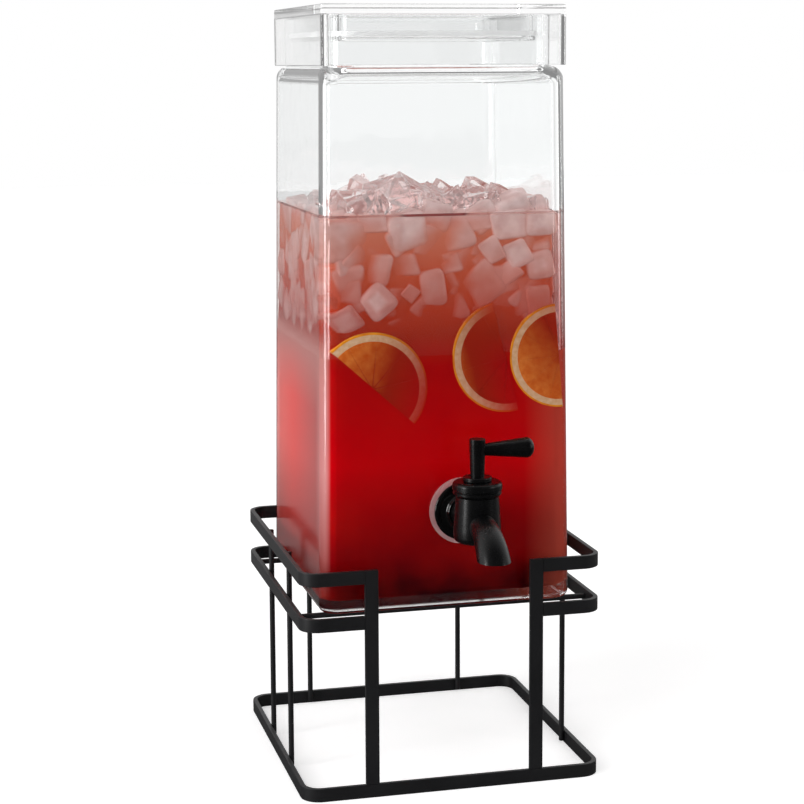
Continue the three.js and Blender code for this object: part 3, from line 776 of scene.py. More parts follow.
class DISPENSER_OT_lid(bpy.types.Operator):
    """Lid: slab, skirt and plug in one clear moulding, and the looks of the seal round the plug"""
    bl_idname = "dispenser.lid"
    bl_label = "Lid"

    def execute(self, context):
        lid = context.scene.dispenser_lid
        top, bottom, half = lid_high.z, lid_low.z, lid_high.x
        edge, nick, fillet, step, root = 0.7 * MM, 0.3 * MM, 0.8 * MM, 0.4 * MM, 0.5 * MM
        corner, turn, inner_turn = 2.4 * MM, 11 * MM, 11 * MM - lid.plug_wall
        skirt, plug, hollow = half - lid.skirt_wall, lid.plug_half, lid.plug_half - lid.plug_wall
        foot, lip, lip_height = RIM_TOP - 16 * MM, 1.8 * MM, 2.6 * MM
        outlines = [
            *quarter_round((half - edge, corner, top), (half, corner, top - edge), (half, corner, top), 3),
            (half, corner, bottom + nick),
            (half - nick, corner, bottom),
            (skirt + nick, corner, bottom),
            (skirt, corner, bottom + nick),
            *quarter_round((skirt, corner, RIM_TOP - fillet), (skirt - fillet, corner, RIM_TOP),
                           (skirt, corner, RIM_TOP), 3),
            (plug + root, turn, RIM_TOP),
            (plug, turn, RIM_TOP - root),
            (plug, turn, foot + lip_height),
            (plug + lip - step, turn + lip, foot + lip_height),
            (plug + lip, turn + lip, foot + lip_height - step),
            (plug + lip, turn + lip, foot + step),
            (plug + lip - step, turn + lip, foot),
            (hollow + step, inner_turn, foot),
            (hollow, inner_turn, foot + step),
            (hollow, inner_turn, RIM_TOP),
        ]
        piece = loft("lid_clear_moulding", outlines, square_outline, 8)
        dress(piece, 30, "lid", finish(moulded_acrylic, tuple(lid.tint)), ["lid_shell"])
        repaint("lid_seal", finish(clear_silicone))
        return {"FINISHED"}


# Stand

def bent_ring(name, bottom, open_front):
    """Flat bar on edge, bent to a rounded square, closed or open between the front legs."""
    stand = bpy.context.scene.dispenser_stand
    deselect()
    square_outline(STAND_HALF, stand.corner, bottom, 12)
    piece = named(name)
    pick_all()
    extrude((0, 0, stand.bar_height))
    if open_front:
        end = stand.leg_offset + stand.bar_height / 2
        for side in (-1, 1):
            pick_all()
            bpy.ops.mesh.bisect(plane_co=(side * end, 0, 0), plane_no=(1, 0, 0))
        pick(lambda f: abs(f.calc_center_median().x) < end and
             f.calc_center_median().y + piece.location.y < 0)
        bpy.ops.mesh.delete(type="FACE")
    pick_all()
    bpy.ops.mesh.normals_make_consistent(inside=False)
    back = max(bmesh.from_edit_mesh(piece.data).faces, key=lambda f: f.calc_center_median().y)
    if back.normal.y < 0:
        bpy.ops.mesh.flip_normals()
    leave()
    settle(piece)
    apply_modifier(
        piece, "SOLIDIFY", thickness=stand.bar_thickness, offset=-1, use_even_offset=True, use_rim=True)
    soften(piece, BAR_EDGE)
    return piece


class DISPENSER_OT_stand_rings(bpy.types.Operator):
    """Stand rings: the closed base ring, the middle ring and the top rail, both open at the front"""
    bl_idname = "dispenser.stand_rings"
    bl_label = "Stand rings"

    def execute(self, context):
        for name, node, open_front in (
                ("base_ring_bar", "stand_base_ring", False),
                ("middle_ring_bar", "stand_middle_ring", True),
                ("top_rail_bar", "stand_top_rail", True)):
            piece = bent_ring(name, span(node)[0].z, open_front)
            dress(piece, 32, "stand", steel(), [node])
        return {"FINISHED"}


class DISPENSER_OT_stand_legs(bpy.types.Operator):
    """Stand legs and rods: two flat front legs, six upright rods and two cross rods"""
    bl_idname = "dispenser.stand_legs"
    bl_label = "Stand legs and rods"

    def execute(self, context):
        for side in ("left", "right"):
            node = f"stand_front_leg_{side}"
            piece = block(f"front_leg_bar_{side}", *span(node), BAR_EDGE)
            dress(piece, 32, "stand", steel(), [node])
        for place in ("left_front", "left_back", "right_front", "right_back", "rear_left", "rear_right"):
            self.rod(f"rod_{place}", "Z")
        for place in ("front", "back"):
            self.rod(f"cross_rod_{place}", "X")
        return {"FINISHED"}

    def rod(self, name, axis):
        """A drawn wire rod with cropped, slightly rounded ends, where the CAD node of its name lies."""
        node = f"stand_{name}"
        low, high = span(node)
        centre = (low + high) / 2
        setattr(centre, axis.lower(), 0)
        start, end = (getattr(corner, axis.lower()) for corner in (low, high))
        radius, edge = bpy.context.scene.dispenser_stand.rod / 2, 0.3 * MM
        piece = turned(f"{name}_wire", [
            (0, start), (radius - edge, start), (radius, start + edge), (radius, end - edge),
            (radius - edge, end), (0, end)], centre, axis, 24)
        dress(piece, 50, "stand", steel(), [node])


# Tap

def spout_tube(name, root, tip, steps=40):
    """Outlines along the spout's bend, bridged to a tube that widens towards its mouth."""
    # The bend's start, control point and end: millimetres forward of the barrel and up from the shank
    start, control, end = Vector((6, 0.6)), Vector((33, -2.6)), Vector((39.6, -27))
    outlines = []
    for i in range(SPOUT_STEPS + 1):
        share = i / SPOUT_STEPS
        place = start * (1 - share) ** 2 + control * 2 * share * (1 - share) + end * share ** 2
        slope = (control - start) * (1 - share) + (end - control) * share
        centre = (TAP_X, TAP_Y - place.x * MM, TAP_Z + place.y * MM)
        outlines.append((root + (tip - root) * share, centre, -math.atan2(slope.x, -slope.y)))
    return loft(name, outlines, round_outline, steps)


def shank_grooves(front, wide, narrow):
    """Two grooves round the shank, as a profile towards the front."""
    return [(radius, front - (start - step) * MM) for start in (5.4, 3)
            for radius, step in ((wide, 0), (narrow, 0.4), (narrow, 1), (wide, 1.4))]


class DISPENSER_OT_tap(bpy.types.Operator):
    """Tap: the moulded body, the bonnet over it, the dish behind it, and the looks of its hidden pieces"""
    bl_idname = "dispenser.tap"
    bl_label = "Tap"

    def execute(self, context):
        self.body(context.scene.dispenser_tap)
        self.bonnet()
        self.dish()
        for washer in ("tap_outer_washer", "tap_inner_washer"):
            repaint(washer, finish(translucent_silicone))
        for ring in ("valve_ring_lower", "valve_ring_upper"):
            repaint(ring, finish(nitrile_rubber))
        repaint("valve_plug", finish(natural_acetal))
        repaint("tap_lock_nut", satin())
        return {"FINISHED"}

    def body(self, tap):
        """Barrel, collar, spout and shank in one moulding, with the valve's bore, inlet and outlet."""
        bottom, top, neck_top = TAP_Z - 11.8 * MM, TAP_Z + 17 * MM, TAP_Z + 23 * MM
        wide, slim = tap.barrel_low, tap.barrel_top
        neck, foot, skirt, edge = 11.8 * MM, 4 * MM, 9 * MM, 0.6 * MM
        barrel = turned("tap_moulding", [
            (0, bottom), *quarter_round((wide - foot, bottom), (wide, bottom + foot), (wide, bottom), 6),
            (wide, bottom + skirt), (slim, top - edge), (slim - edge, top), (neck, top), (neck, neck_top),
            (0, neck_top)], TAP_AXIS)
        shank_end, front = span("tap_body")[1].y, SHANK_FRONT - 5 * MM
        collar, waist, thread, tip = 8.8 * MM, 8.1 * MM, 7.7 * MM, 7.1 * MM
        combine(barrel, turned("shank", [
            (0, TAP_Y), (collar, TAP_Y), *shank_grooves(front, collar, waist), (collar, front),
            (thread, front), (thread, shank_end - edge), (tip, shank_end), (0, shank_end)],
            SHANK_AXIS, "Y", 48), "UNION")
        spout = spout_tube("spout", tap.spout_root, tap.spout_tip)
        edit(spout)
        mouth = TAP_Z - 15.5 * MM
        bpy.ops.mesh.bisect(plane_co=(0, 0, mouth), plane_no=(0, 0, -1), clear_outer=True, use_fill=True)
        leave()
        soften(spout, 0.7 * MM, 3, 40)
        combine(barrel, spout, "UNION")
        outlet, valve, valve_floor, inlet, past = 5.6 * MM, 9.6 * MM, bottom + 3.4 * MM, 4.6 * MM, 2 * MM
        combine(barrel, spout_tube("outlet", outlet, outlet, 32), "DIFFERENCE")
        combine(barrel, turned("valve_bore", [
            (0, valve_floor), (valve, valve_floor), (valve, neck_top + past), (0, neck_top + past)],
            TAP_AXIS, "Z", 48), "DIFFERENCE")
        combine(barrel, turned("inlet_bore", [
            (0, TAP_Y), (inlet, TAP_Y), (inlet, shank_end + past), (0, shank_end + past)],
            SHANK_AXIS, "Y", 32), "DIFFERENCE")
        dress(barrel, 35, "jar", satin(), ["tap_body"])

    def bonnet(self):
        """The ring that closes the barrel: a bead round its foot, a rounded top and a hole for the post."""
        low, high, radius = bonnet_low.z, bonnet_high.z, bonnet_high.x - TAP_X
        bore, plate, crown, hole, edge = 12.1 * MM, high - 2.6 * MM, 2.2 * MM, 5.3 * MM, 0.3 * MM
        bead = [(radius - inset * MM, low + rise * MM) for inset, rise in (
            (1.6, 0), (0.4, 1.2), (0.4, 2.6), (0.9, 3), (0.9, 3.5), (0, 4))]
        ring = turned("bonnet_ring", [
            (bore, low), *bead,
            *quarter_round((radius, high - crown), (radius - crown, high), (radius, high), 6),
            (hole + edge, high), (hole, high - edge), (hole, plate), (bore, plate)], TAP_AXIS, closed=True)
        dress(ring, 35, "jar", satin(), ["tap_bonnet"])

    def dish(self):
        """The round dish between the washer and the barrel: a rolled rim, a hollow and a hub."""
        rim, sheet, hub, depth, bore, edge = 18.4 * MM, 1.6 * MM, 10.5 * MM, 5 * MM, 8 * MM, 0.4 * MM
        back = SHANK_FRONT
        dish = turned("escutcheon_dish", [
            (bore, back), (rim - sheet, back),
            *quarter_round((rim - edge, back - edge / 2), (rim - sheet, back - sheet), (rim, back - sheet)),
            (rim - sheet * 1.6, back - sheet - edge / 4),
            *quarter_round((rim - sheet * 2, back - sheet), (hub, back - depth + edge),
                           (hub, back - sheet), 8),
            (hub - edge, back - depth), (bore, back - depth)], SHANK_AXIS, "Y", 72, closed=True)
        dress(dish, 40, "jar", finish(gloss_black_abs), ["tap_escutcheon"])


class DISPENSER_OT_lever(bpy.types.Operator):
    """Lever: the disc, the post and the flared arm that turns the valve"""
    bl_idname = "dispenser.lever"
    bl_label = "Lever"

    def execute(self, context):
        self.disc()
        self.post()
        self.arm()
        return {"FINISHED"}

    def disc(self):
        low, high = span("lever_disc")
        radius, bore, edge, crown = (high.x - low.x) / 2, 3.4 * MM, 0.3 * MM, 0.7 * MM
        disc = turned("stem_disc", [
            (bore, low.z), (radius - edge, low.z), (radius, low.z + edge),
            *quarter_round((radius, high.z - crown), (radius - crown, high.z), (radius, high.z), 4),
            (bore, high.z)], TAP_AXIS, closed=True)
        dress(disc, 35, "lever", satin(), ["lever_disc"])

    def post(self):
        low, high = span("lever_post")
        foot, crown, straight, edge = 4.25 * MM, 4.9 * MM, 4 * MM, 0.5 * MM
        drive, drive_depth, past = 2.3 * MM, 6.8 * MM, 2 * MM
        post = turned("lever_post_round", [
            (0, low.z), (foot, low.z), (crown, high.z - straight),
            *quarter_round((crown, high.z - edge), (crown - edge, high.z), (crown, high.z), 4),
            (0, high.z)], TAP_AXIS, "Z", 48)
        socket = block("drive_socket", TAP_AXIS + Vector((-drive, -drive, low.z - past)),
                       TAP_AXIS + Vector((drive, drive, low.z + drive_depth)))
        combine(post, socket, "DIFFERENCE")
        dress(post, 35, "lever", satin(), ["lever_post"])

    def arm(self):
        low, high = span("lever_arm")
        line = Vector((0, TAP_Y, (low.z + high.z) / 2))
        start, reach, root, tip, crown = TAP_X + 3 * MM, high.x, 3.6 * MM, 6.25 * MM, 4.6 * MM
        arm = turned("lever_arm_flared", [
            (0, start), (root, start), (root + 0.2 * MM, start + 3 * MM),
            *quarter_round((tip, reach - crown), (0, reach), (tip, reach), 9)], line, "X", 48)
        dress(arm, 40, "lever", satin(), ["lever_arm"])


# Filling: the drink, the ice and the orange slices, which aren't pieces of the dispenser

class DISPENSER_OT_drink(bpy.types.Operator):
    """Drink: it lies against the glass below the ice, and draws back behind the ice above"""
    bl_idname = "dispenser.drink"
    bl_label = "Drink"

    def execute(self, context):
        ice, level = context.scene.dispenser_filling.ice_bottom, context.scene.dispenser_filling.level
        corner = context.scene.dispenser_jar.inner_corner
        floor = JAR_BASE + context.scene.dispenser_jar.base_thickness
        # How far it goes into the glass, draws back from it at first and in full, and is rounded at the top
        grip, half_back, back, crown = 0.15 * MM, 1.5 * MM, 3.6 * MM, 4 * MM
        piece = loft("drink_in_jar", [
            *quarter_round((inner_half(floor) - FLOOR_ROUND, corner, floor - grip),
                           (inner_half(floor + FLOOR_ROUND) + grip, corner, floor + FLOOR_ROUND),
                           (inner_half(floor) + grip, corner, floor - grip)),
            (inner_half(ice - 14 * MM) + grip, corner, ice - 14 * MM),
            (inner_half(ice - 4 * MM) - half_back, corner, ice - 4 * MM),
            (inner_half(ice + 10 * MM) - back, corner, ice + 10 * MM),
            (inner_half(level) - back, corner, level - 5 * MM),
            (inner_half(level) - back - crown, corner, level)], square_outline, 8)
        dress(piece, 40, "jar", finish(fruit_punch))

        touch, edge, foot = 0.05 * MM, 0.6 * MM, ice - 18 * MM
        liquid = loft("drink_among_ice", [
            (inner_half(foot) + touch, corner, foot), (inner_half(level) + touch, corner, level - edge),
            (inner_half(level) - edge, corner, level)], square_outline, 8)
        dress(liquid, 40, "jar", finish(liquid_among_ice))

        climb, reach, half = 0.9 * MM, 1.3 * MM, inner_half(level) + grip
        bottom, top = level - climb, level + climb * 0.7
        bead = loft("drink_meniscus", [
            (half - reach, corner, bottom), (half, corner, bottom), (half, corner, top),
            (half - 0.3 * MM, corner, top), (half - reach, corner, bottom + 0.4 * MM)],
            square_outline, 8, ring=True)
        dress(bead, 40, "jar", finish(meniscus_punch))
        return {"FINISHED"}


# Front ice: across and height on the front glass, width, height, turn in degrees and depth behind the glass
FRONT_ICE = [
    (-23.6, 347, 28, 25, 14, 0.6), (-42.1, 304.6, 21, 21, 42, 0.4), (-7.4, 312.3, 18, 24, 8, 1.2),
    (-60, 342, 30, 26, 3, 2.6), (46.8, 331.4, 15, 18, 25, 0.6), (30.6, 334.3, 13, 16, 30, 1.2),
    (40, 319.2, 17, 14, 35, 1.8), (61, 324.3, 20, 19, 12, 1), (41.2, 349.5, 24, 18, 5, 1),
    (61, 350, 22, 16, 3, 0.5), (-28.4, 326, 24, 16, 6, 3), (24.6, 313.1, 27, 27, 38, 2.8),
    (-21.9, 309.1, 9, 10, 50, 1.6), (-62, 293.8, 17, 17, 30, 1), (6.9, 299.8, 20, 22, 20, 3.4),
    (-8.4, 279, 18, 21, 12, 3), (60, 301.1, 16, 20, 8, 1.6), (8, 345, 24, 24, 20, 3),
    (-45, 330, 20, 20, 60, 3.6), (8, 328, 18, 16, 15, 3.8), (48, 300, 20, 18, 40, 3.2),
    (-60, 318, 22, 20, 10, 3), (-25, 288, 20, 18, 25, 3.6), (20, 352, 20, 14, 10, 2.4),
    (-45, 352, 18, 12, 4, 2.2), (54, 312, 14, 14, 20, 3), (-10, 332, 15, 15, 50, 3.6)]
# Ice that stands out of the drink at the front: across, height, width, height of the shard, turn, depth
SHARDS = [
    (-32, 368, 24, 19, 24, 7), (-17, 368, 26, 15, -24, 12), (-24, 362, 22, 12, 8, 3),
    (9.7, 364, 16, 15, 42, 8), (26, 363, 22, 12, 8, 6), (42, 364, 20, 14, -30, 12),
    (-65, 363, 13, 16, 45, 6), (-49.4, 362, 20, 15, 12, 8), (60, 360, 20, 8, 5, 12),
    (-6, 360, 16, 10, 20, 5), (50, 360, 16, 9, 12, 5), (-40, 361, 12, 10, 50, 3)]
# Each slice: name, size, across and height of its middle, turn, and the way and stretch in which it sinks
SLICES = [
    ("orange_slice_left", 1.0, -46.8, 251.3, -42, -20, -0.7, 1.25),
    ("orange_slice_middle", 1.0, 38.9, 268.2, 104, 15, -1.35, 0.1),
    ("orange_slice_right", 0.93, 73.3, 267.5, 94, 40, -0.9, 1.4)]


class DISPENSER_OT_ice(bpy.types.Operator):
    """Ice: rounded cubes against the glass all round, and clear pieces standing out of the drink"""
    bl_idname = "dispenser.ice"
    bl_label = "Ice"

    def execute(self, context):
        filling = context.scene.dispenser_filling
        dice = random.Random(filling.ice_seed)
        shapes = [self.cube(i, 0.1, 0.12 + 0.035 * i, 3) for i in range(4)]
        for shape in shapes:
            self.cloud_over(shape)
        chips = [self.cube(i + 20, 0.24, 0.03, 1) for i in range(4)]
        cubes = []
        for spot in FRONT_ICE:
            cube = self.place(dice, shapes, 0, *spot)
            depth = spot[-1]
            cubes.append(self.whiten(cube, min(max(1.5 - depth, 0), 0.85)))
        for side in range(4):
            for row in range(ICE_ROWS):
                for column in range(ICE_COLUMNS):
                    cubes.append(self.thrown(dice, shapes, side, row, column, filling.ice_bottom / MM))
        dress(join_all(cubes, "ice_in_drink"), 60, "jar", finish(wet_ice))

        clear = [self.place(dice, chips, 0, *spot) for spot in SHARDS]
        for _ in range(SHARDS_BEHIND):
            across, inward = dice.uniform(-58, 58), dice.uniform(20, 132)
            size = dice.uniform(14, 26)
            clear.append(self.place(
                dice, chips, 0, across, dice.uniform(354, 363), size, size * dice.uniform(0.5, 0.8),
                dice.uniform(-40, 40), inward))
        dress(join_all(clear, "ice_above_drink"), 20, "jar", finish(melting_ice))
        for shape in shapes + chips:
            remove(shape)
        return {"FINISHED"}

    def cube(self, number, uneven, melted, steps):
        """One cube from the tray, or a chip of one, uneven and melted round at its edges."""
        deselect()
        bpy.ops.mesh.primitive_cube_add(size=1)
        piece = named(f"ice_shape_{number}")
        edit(piece)
        bpy.ops.transform.vertex_random(offset=uneven, seed=number + 3)
        bpy.ops.mesh.bevel(offset=melted, segments=steps)
        leave()
        return piece

    def cloud_over(self, piece):
        """Marks the middle of each face as cloudy, and the rims as clearer."""
        smallest = sorted(face.area for face in piece.data.polygons)[-6]
        edit(piece)
        pick(lambda face: face.calc_area() >= smallest * 0.999)
        bpy.ops.mesh.inset(thickness=0.12, use_individual=True)
        leave()
        cloudy = {corner for face in piece.data.polygons if face.select for corner in face.vertices}
        values = [1.0 if i in cloudy else 0.5 for i in range(len(piece.data.vertices))]
        piece.data.attributes.new(FROST, "FLOAT", "POINT").data.foreach_set("value", values)

    def whiten(self, piece, frost):
        """Sets how frosty a cube is, from 0 for red with drink to 1 for white, and clearer at its rims."""
        marks = piece.data.attributes[FROST].data
        marks.foreach_set("value", [mark.value * frost for mark in marks])
        return piece

    def thrown(self, dice, shapes, side, row, column, bottom):
        """A cube, in millimetres, in the uneven rows against a side: at the front deeper and redder ones."""
        across = -62 + 124 * (column + dice.uniform(0.1, 0.9)) / ICE_COLUMNS
        height = bottom + 12.5 * row + dice.uniform(0, 10)
        size = dice.uniform(13, 23)
        depth = dice.uniform(*((0.6, 4.5) if side else (2.8, 5)))
        cube = self.place(
            dice, shapes, side, across, height, size, size * dice.uniform(0.8, 1.1), dice.uniform(0, 90),
            depth)
        return self.whiten(cube, dice.uniform(*((0.3, 1) if side else (0, 0.2))))

    def place(self, dice, shapes, side, across, height, width, tall, turn, depth):
        """Puts a copy of a cube against a side of the jar: 0 front, 1 right, 2 back, 3 left."""
        piece = copy_of(dice.choice(shapes), "ice")
        thick = min(width, tall) * dice.uniform(0.75, 1.0)
        inward = inner_half(height * MM) / MM - depth - thick / 2
        spot = Vector((across, -inward, height)) * MM
        tilt = (math.radians(dice.uniform(-7, 7)), math.radians(-turn), math.radians(dice.uniform(-9, 9)))
        shape = Matrix.LocRotScale(spot, Euler(tilt), Vector((width, thick, tall)) * MM)
        piece.matrix_world = Matrix.Translation(MIDDLE) @ Matrix.Rotation(side * QUARTER, 4, "Z") @ shape
        settle(piece)
        return piece


class DISPENSER_OT_orange(bpy.types.Operator):
    """Orange slices: peel, pith and pulp segments, three halves of a round slice"""
    bl_idname = "dispenser.orange"
    bl_label = "Orange slices"

    def execute(self, context):
        jar, radius = context.scene.dispenser_jar, context.scene.dispenser_filling.slice_radius
        half = self.wheel(radius)
        edit(half)
        bpy.ops.mesh.bisect(plane_co=(0, 1 * MM, 0), plane_no=(0, -1, 0), clear_outer=True, use_fill=True)
        leave()
        slope = math.atan((jar.half_at_base - jar.half_at_shoulder) / (SHOULDER_TOP - JAR_BASE))
        for name, size, across, height, turn, way, start, end in SLICES:
            piece = copy_of(half, name)
            spot = MIDDLE + Vector((across * MM, -inner_half(height * MM) - 0.3 * MM, height * MM))
            stand_up = Matrix.Rotation(QUARTER - slope, 4, "X")
            turned_in_plane = Matrix.Rotation(math.radians(turn), 4, "Z") @ Matrix.Scale(size, 4)
            piece.matrix_world = Matrix.Translation(spot) @ stand_up @ turned_in_plane
            settle(piece)
            self.sink(piece, spot, radius, math.radians(way), start, end)
            dress(piece, 40, "jar")
        remove(half)
        return {"FINISHED"}

    def sink(self, piece, middle, radius, way, start, end):
        """Marks how far each point has sunk into the drink, from start to end of the way, in radii."""
        depths = []
        for vertex in piece.data.vertices:
            out = (vertex.co - middle) / radius
            along = out.x * math.cos(way) + out.z * math.sin(way)
            share = min(max((along - start) / (end - start), 0), 1)
            depths.append(share * share * (3 - 2 * share))
        piece.data.attributes.new(SUNK, "FLOAT", "POINT").data.foreach_set("value", depths)

    def start(self, name):
        """Names the primitive just added, gives it the fruit's three materials and enters edit mode."""
        piece = named(name)
        settle(piece)
        for maker in (orange_rind, orange_pith, orange_pulp):
            piece.data.materials.append(finish(maker))
        edit(piece)
        return piece

    def paint(self, piece, slot):
        piece.active_material_index = slot
        bpy.ops.object.material_slot_assign()

    def wheel(self, radius):
        """A round slice lying flat, its face on Z = 0 and its back below."""
        thick, rind, pith, near = 6 * MM, 1.4 * MM, 4 * MM, 0.1 * MM
        deselect()
        bpy.ops.mesh.primitive_cylinder_add(
            vertices=72, radius=radius, depth=thick, location=(0, 0, -thick / 2))
        piece = self.start("orange_wheel")
        for face_side in (1, -1):
            pick(lambda f: f.normal.z * face_side > 0.9 and len(f.verts) > 8)
            bpy.ops.mesh.inset(thickness=rind)
            bpy.ops.mesh.inset(thickness=pith)
            for slot, reach in ((1, radius - 1 * MM), (2, radius - 5 * MM)):
                pick(lambda f: f.normal.z * face_side > 0.9 and max(v.co.xy.length for v in f.verts) < reach)
                self.paint(piece, slot)
        pick(lambda e: all(abs(v.co.xy.length - radius) < near for v in e.verts) and
             abs(e.verts[0].co.z - e.verts[1].co.z) < near, "EDGE")
        bpy.ops.mesh.bevel(offset=0.6 * MM, segments=2)
        leave()
        segments = [self.segments(radius - 5.2 * MM, height) for height in (0.0, -thick)]
        return join_all([piece, *segments], "orange_wheel")

    def segments(self, radius, height):
        """Ten plump wedges of pulp with thin skins between them."""
        skin, plump, sunk_in = 0.35 * MM, 0.25 * MM, 0.1 * MM
        deselect()
        bpy.ops.mesh.primitive_circle_add(
            vertices=10, radius=radius, fill_type="TRIFAN", location=(0, 0, height))
        piece = self.start("orange_segments")
        self.paint(piece, 2)
        bpy.ops.mesh.edge_split(type="EDGE")
        bpy.ops.mesh.select_mode(type="FACE")
        bpy.ops.mesh.inset(thickness=skin, use_individual=True)
        bpy.ops.mesh.select_all(action="INVERT")
        bpy.ops.mesh.delete(type="FACE")
        pick_all()
        bpy.ops.mesh.select_mode(type="VERT")
        bpy.ops.mesh.bevel(offset=2 * MM, affect="VERTICES", segments=3)
        pick_all()
        extrude((0, 0, plump))
        pick_all()
        bpy.ops.transform.translate(value=(0, 0, -sunk_in))
        bpy.ops.mesh.normals_make_consistent(inside=False)
        leave()
        return piece


# Stage

def seen_straight(tree, path):
    """1 for rays that have come from the eye through clear surfaces only, and been mirrored by none."""
    turns = add_node(tree, "Math", (path["Glossy Depth"], path["Diffuse Depth"]), operation="ADD")
    return add_node(tree, "Math", (turns, 0.5), operation="LESS_THAN")


def matt_paper_floor(tree, place, tone):
    """Matt white paper, which shines faintly where the eye sees it, as an evenly lit one does. What is seen
    straight through the glass is pale. Mirrored rays see a dark floor, and in front of the object so do those
    that were thrown about inside the glass."""
    path = add_node(tree, "LightPath").outputs
    ahead = add_node(tree, "SeparateXYZ", [place]).outputs["Y"]
    front = add_node(tree, "MapRange", (ahead, -0.3, -0.15, 1.0, 0.0))
    thrown = add_node(tree, "Math", (1.0, seen_straight(tree, path)), operation="SUBTRACT")
    front = add_node(tree, "Math", (front, thrown), operation="MULTIPLY")
    mirrored = add_node(tree, "Math", (1.0, path["Is Transmission Ray"]), operation="SUBTRACT")
    dark = add_node(tree, "Math", (mirrored, front), operation="MAXIMUM")
    dark = add_node(tree, "Math", (path["Is Glossy Ray"], dark), operation="MULTIPLY")
    far_tone = fade(tree, ahead, -0.2, 0.5, "#161616", "#8A8A8A")
    seen = add_node(tree, "Math", (path["Is Glossy Ray"], path["Is Transmission Ray"]), operation="MAXIMUM")
    seen = add_node(tree, "Math", (path["Is Camera Ray"], seen), operation="MAXIMUM")
    pale = add_node(tree, "Math", (1.0, dark), operation="SUBTRACT")
    seen = add_node(tree, "Math", (seen, pale), operation="MULTIPLY")
    return {"Base Color": add_node(tree, "Mix", {0: dark, 6: tone, 7: far_tone}, data_type="RGBA"),
            "Emission Strength": add_node(tree, "Math", (seen, 0.48), operation="MULTIPLY"),
            "Roughness": 0.95}


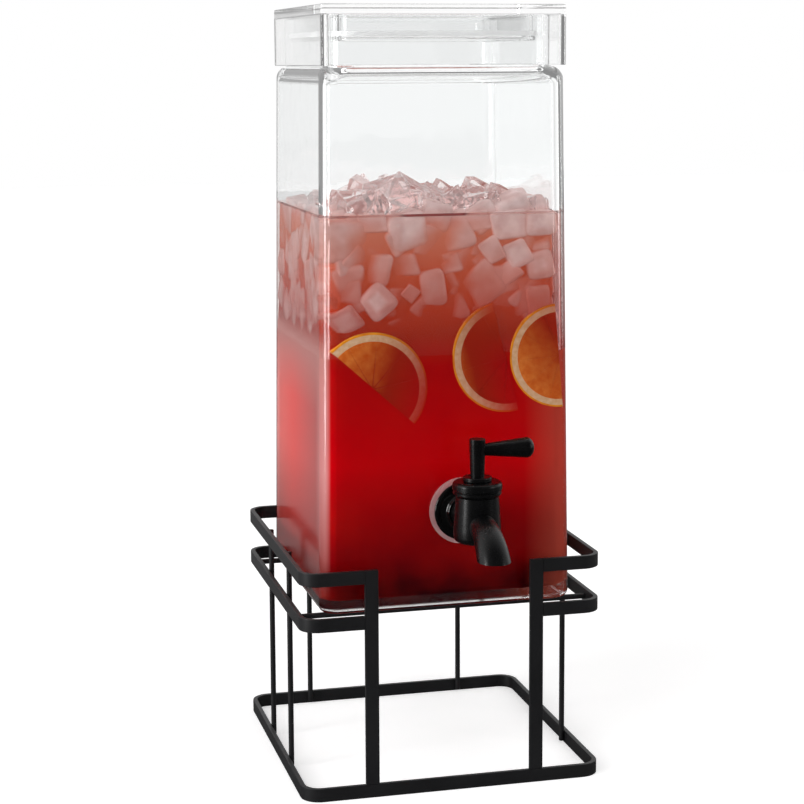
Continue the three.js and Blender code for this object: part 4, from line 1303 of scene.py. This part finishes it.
class DISPENSER_OT_stage(bpy.types.Operator):
    """Stage: plain pale floor, soft lamps, white surroundings and the camera"""
    bl_idname = "dispenser.stage"
    bl_label = "Stage"

    def execute(self, context):
        stage = context.scene.dispenser_stage
        self.floor(tuple(stage.floor))
        self.surroundings(context.scene, stage.room_light)
        self.sun("key_lamp", stage.key_light, (-0.9, -0.55, 0.75), 40)
        self.sun("fill_lamp", stage.fill_light, (0.5, -0.85, 0.6), 60)
        self.card("window_card", 6.0, (-1.2, -0.28, 0.36), 0.25, 0.7)
        self.card("side_card", 1.5, (1.1, -0.7, 0.5), 0.16, 0.6)
        self.camera(context.scene)
        context.scene.view_settings.view_transform = "Standard"
        return {"FINISHED"}

    def floor(self, tone):
        deselect()
        bpy.ops.mesh.primitive_plane_add(size=12, location=(0, 0, 0))
        floor = named("floor")
        edit(floor)
        bpy.ops.mesh.subdivide(number_cuts=3)
        leave()
        floor.data.materials.append(finish(matt_paper_floor, tone))

    def surroundings(self, scene, room_light):
        """White to the camera, and brighter behind the object than in front of it to glass and gloss."""
        world = bpy.data.worlds.new("white_surroundings")
        scene.world = world
        world.use_nodes = True
        tree = world.node_tree
        tree.nodes.clear()
        path = add_node(tree, "LightPath").outputs
        direction = add_node(tree, "TexCoord").outputs["Generated"]
        ahead = add_node(tree, "SeparateXYZ", [direction]).outputs["Y"]
        mirrored = add_node(tree, "ValToRGB", [add_node(tree, "MapRange", (ahead, -1, 1))], [
            (0.3, 0.03), (0.65, 1.0), (0.9, 0.9), (1.0, 0.6)])
        refracted = add_node(tree, "MapRange", (ahead, -0.35, 0.3, 0.6, 1.04))
        refracted = add_node(tree, "Math", (refracted, seen_straight(tree, path)), operation="MAXIMUM")
        level = room_light
        for kind, strength in (("Glossy", mirrored), ("Transmission", refracted), ("Camera", 1.0)):
            level = add_node(tree, "Mix", {0: path[f"Is {kind} Ray"], 2: level, 3: strength})
        sky = add_node(tree, "Background", {"Color": (1, 1, 1, 1), "Strength": level})
        add_node(tree, "OutputWorld", {"Surface": sky})

    def sun(self, name, strength, towards, softness):
        """A soft lamp far off in the direction given, which glossy surfaces don't mirror."""
        deselect()
        turn = Vector(towards).to_track_quat("Z", "Y").to_euler()
        bpy.ops.object.light_add(type="SUN", location=Vector(towards) * 3, rotation=turn)
        lamp = bpy.context.object
        lamp.name = name
        lamp.data.energy = strength
        lamp.data.angle = math.radians(softness)
        lamp.visible_glossy = False

    def card(self, name, power, place, width, tall):
        """A narrow lit card whose reflection shows in the black plastic and the glass corners."""
        deselect()
        turn = (Vector(place) - Vector((TAP_X, TAP_Y, TAP_Z))).to_track_quat("Z", "Y").to_euler()
        bpy.ops.object.light_add(type="AREA", location=place, rotation=turn)
        lamp = bpy.context.object
        lamp.name = name
        lamp.data.shape = "RECTANGLE"
        lamp.data.size, lamp.data.size_y = width, tall
        lamp.data.energy = power

    def camera(self, scene):
        """The photograph's viewing angle: from the left of the front, a little above the tap."""
        azimuth, pitch, roll = (math.radians(angle) for angle in (-14.097, 7.877, -0.285))
        stand_point = MIDDLE + Vector((-0.31837, -1.23240, 0.45008))
        forward = Vector((
            -math.sin(azimuth) * math.cos(pitch), math.cos(azimuth) * math.cos(pitch), -math.sin(pitch)))
        right = forward.cross(Vector((0, 0, 1))).normalized()
        up = right.cross(forward)
        right, up = (
            right * math.cos(roll) + up * math.sin(roll), up * math.cos(roll) - right * math.sin(roll))
        data = bpy.data.cameras.new("camera")
        camera = bpy.data.objects.new("camera", data)
        scene.collection.objects.link(camera)
        turn = Matrix((right, up, -forward)).transposed().to_4x4()
        camera.matrix_world = Matrix.Translation(stand_point) @ turn
        data.lens = 88.47
        data.sensor_width = 36
        data.shift_y = -0.0851
        data.clip_start = 0.05
        scene.camera = camera


class DISPENSER_PT_pieces(bpy.types.Panel):
    """Lists the pieces"""
    bl_idname = "DISPENSER_PT_pieces"
    bl_label = "Glass Beverage Dispenser"
    bl_space_type = "VIEW_3D"
    bl_region_type = "UI"
    bl_category = "Dispenser"

    def draw(self, context):
        for operator in OPERATORS:
            self.layout.operator(operator.bl_idname)
        for name in SETTINGS:
            group = getattr(context.scene, name)
            for key in group.bl_rna.properties.keys():
                if key not in ("rna_type", "name"):
                    self.layout.prop(group, key)


OPERATORS = (
    DISPENSER_OT_stage, DISPENSER_OT_stand_rings, DISPENSER_OT_stand_legs, DISPENSER_OT_jar, DISPENSER_OT_lid,
    DISPENSER_OT_tap, DISPENSER_OT_lever, DISPENSER_OT_drink, DISPENSER_OT_ice, DISPENSER_OT_orange)
SETTINGS = {
    "dispenser_jar": JarSizes, "dispenser_lid": LidSizes, "dispenser_stand": StandSizes,
    "dispenser_tap": TapSizes, "dispenser_filling": FillingSizes, "dispenser_stage": StageSizes}


def register():
    for kind in (*SETTINGS.values(), *OPERATORS, DISPENSER_PT_pieces):
        bpy.utils.register_class(kind)
    for name, kind in SETTINGS.items():
        setattr(bpy.types.Scene, name, bpy.props.PointerProperty(type=kind))


def unregister():
    for name in SETTINGS:
        delattr(bpy.types.Scene, name)
    for kind in reversed((*SETTINGS.values(), *OPERATORS, DISPENSER_PT_pieces)):
        bpy.utils.unregister_class(kind)


def main():
    register()
    bpy.ops.dispenser.stage()
    bpy.ops.dispenser.stand_rings()
    bpy.ops.dispenser.stand_legs()
    bpy.ops.dispenser.jar()
    bpy.ops.dispenser.lid()
    bpy.ops.dispenser.tap()
    bpy.ops.dispenser.lever()
    bpy.ops.dispenser.drink()
    bpy.ops.dispenser.ice()
    bpy.ops.dispenser.orange()


if __name__ == "__main__":
    main()
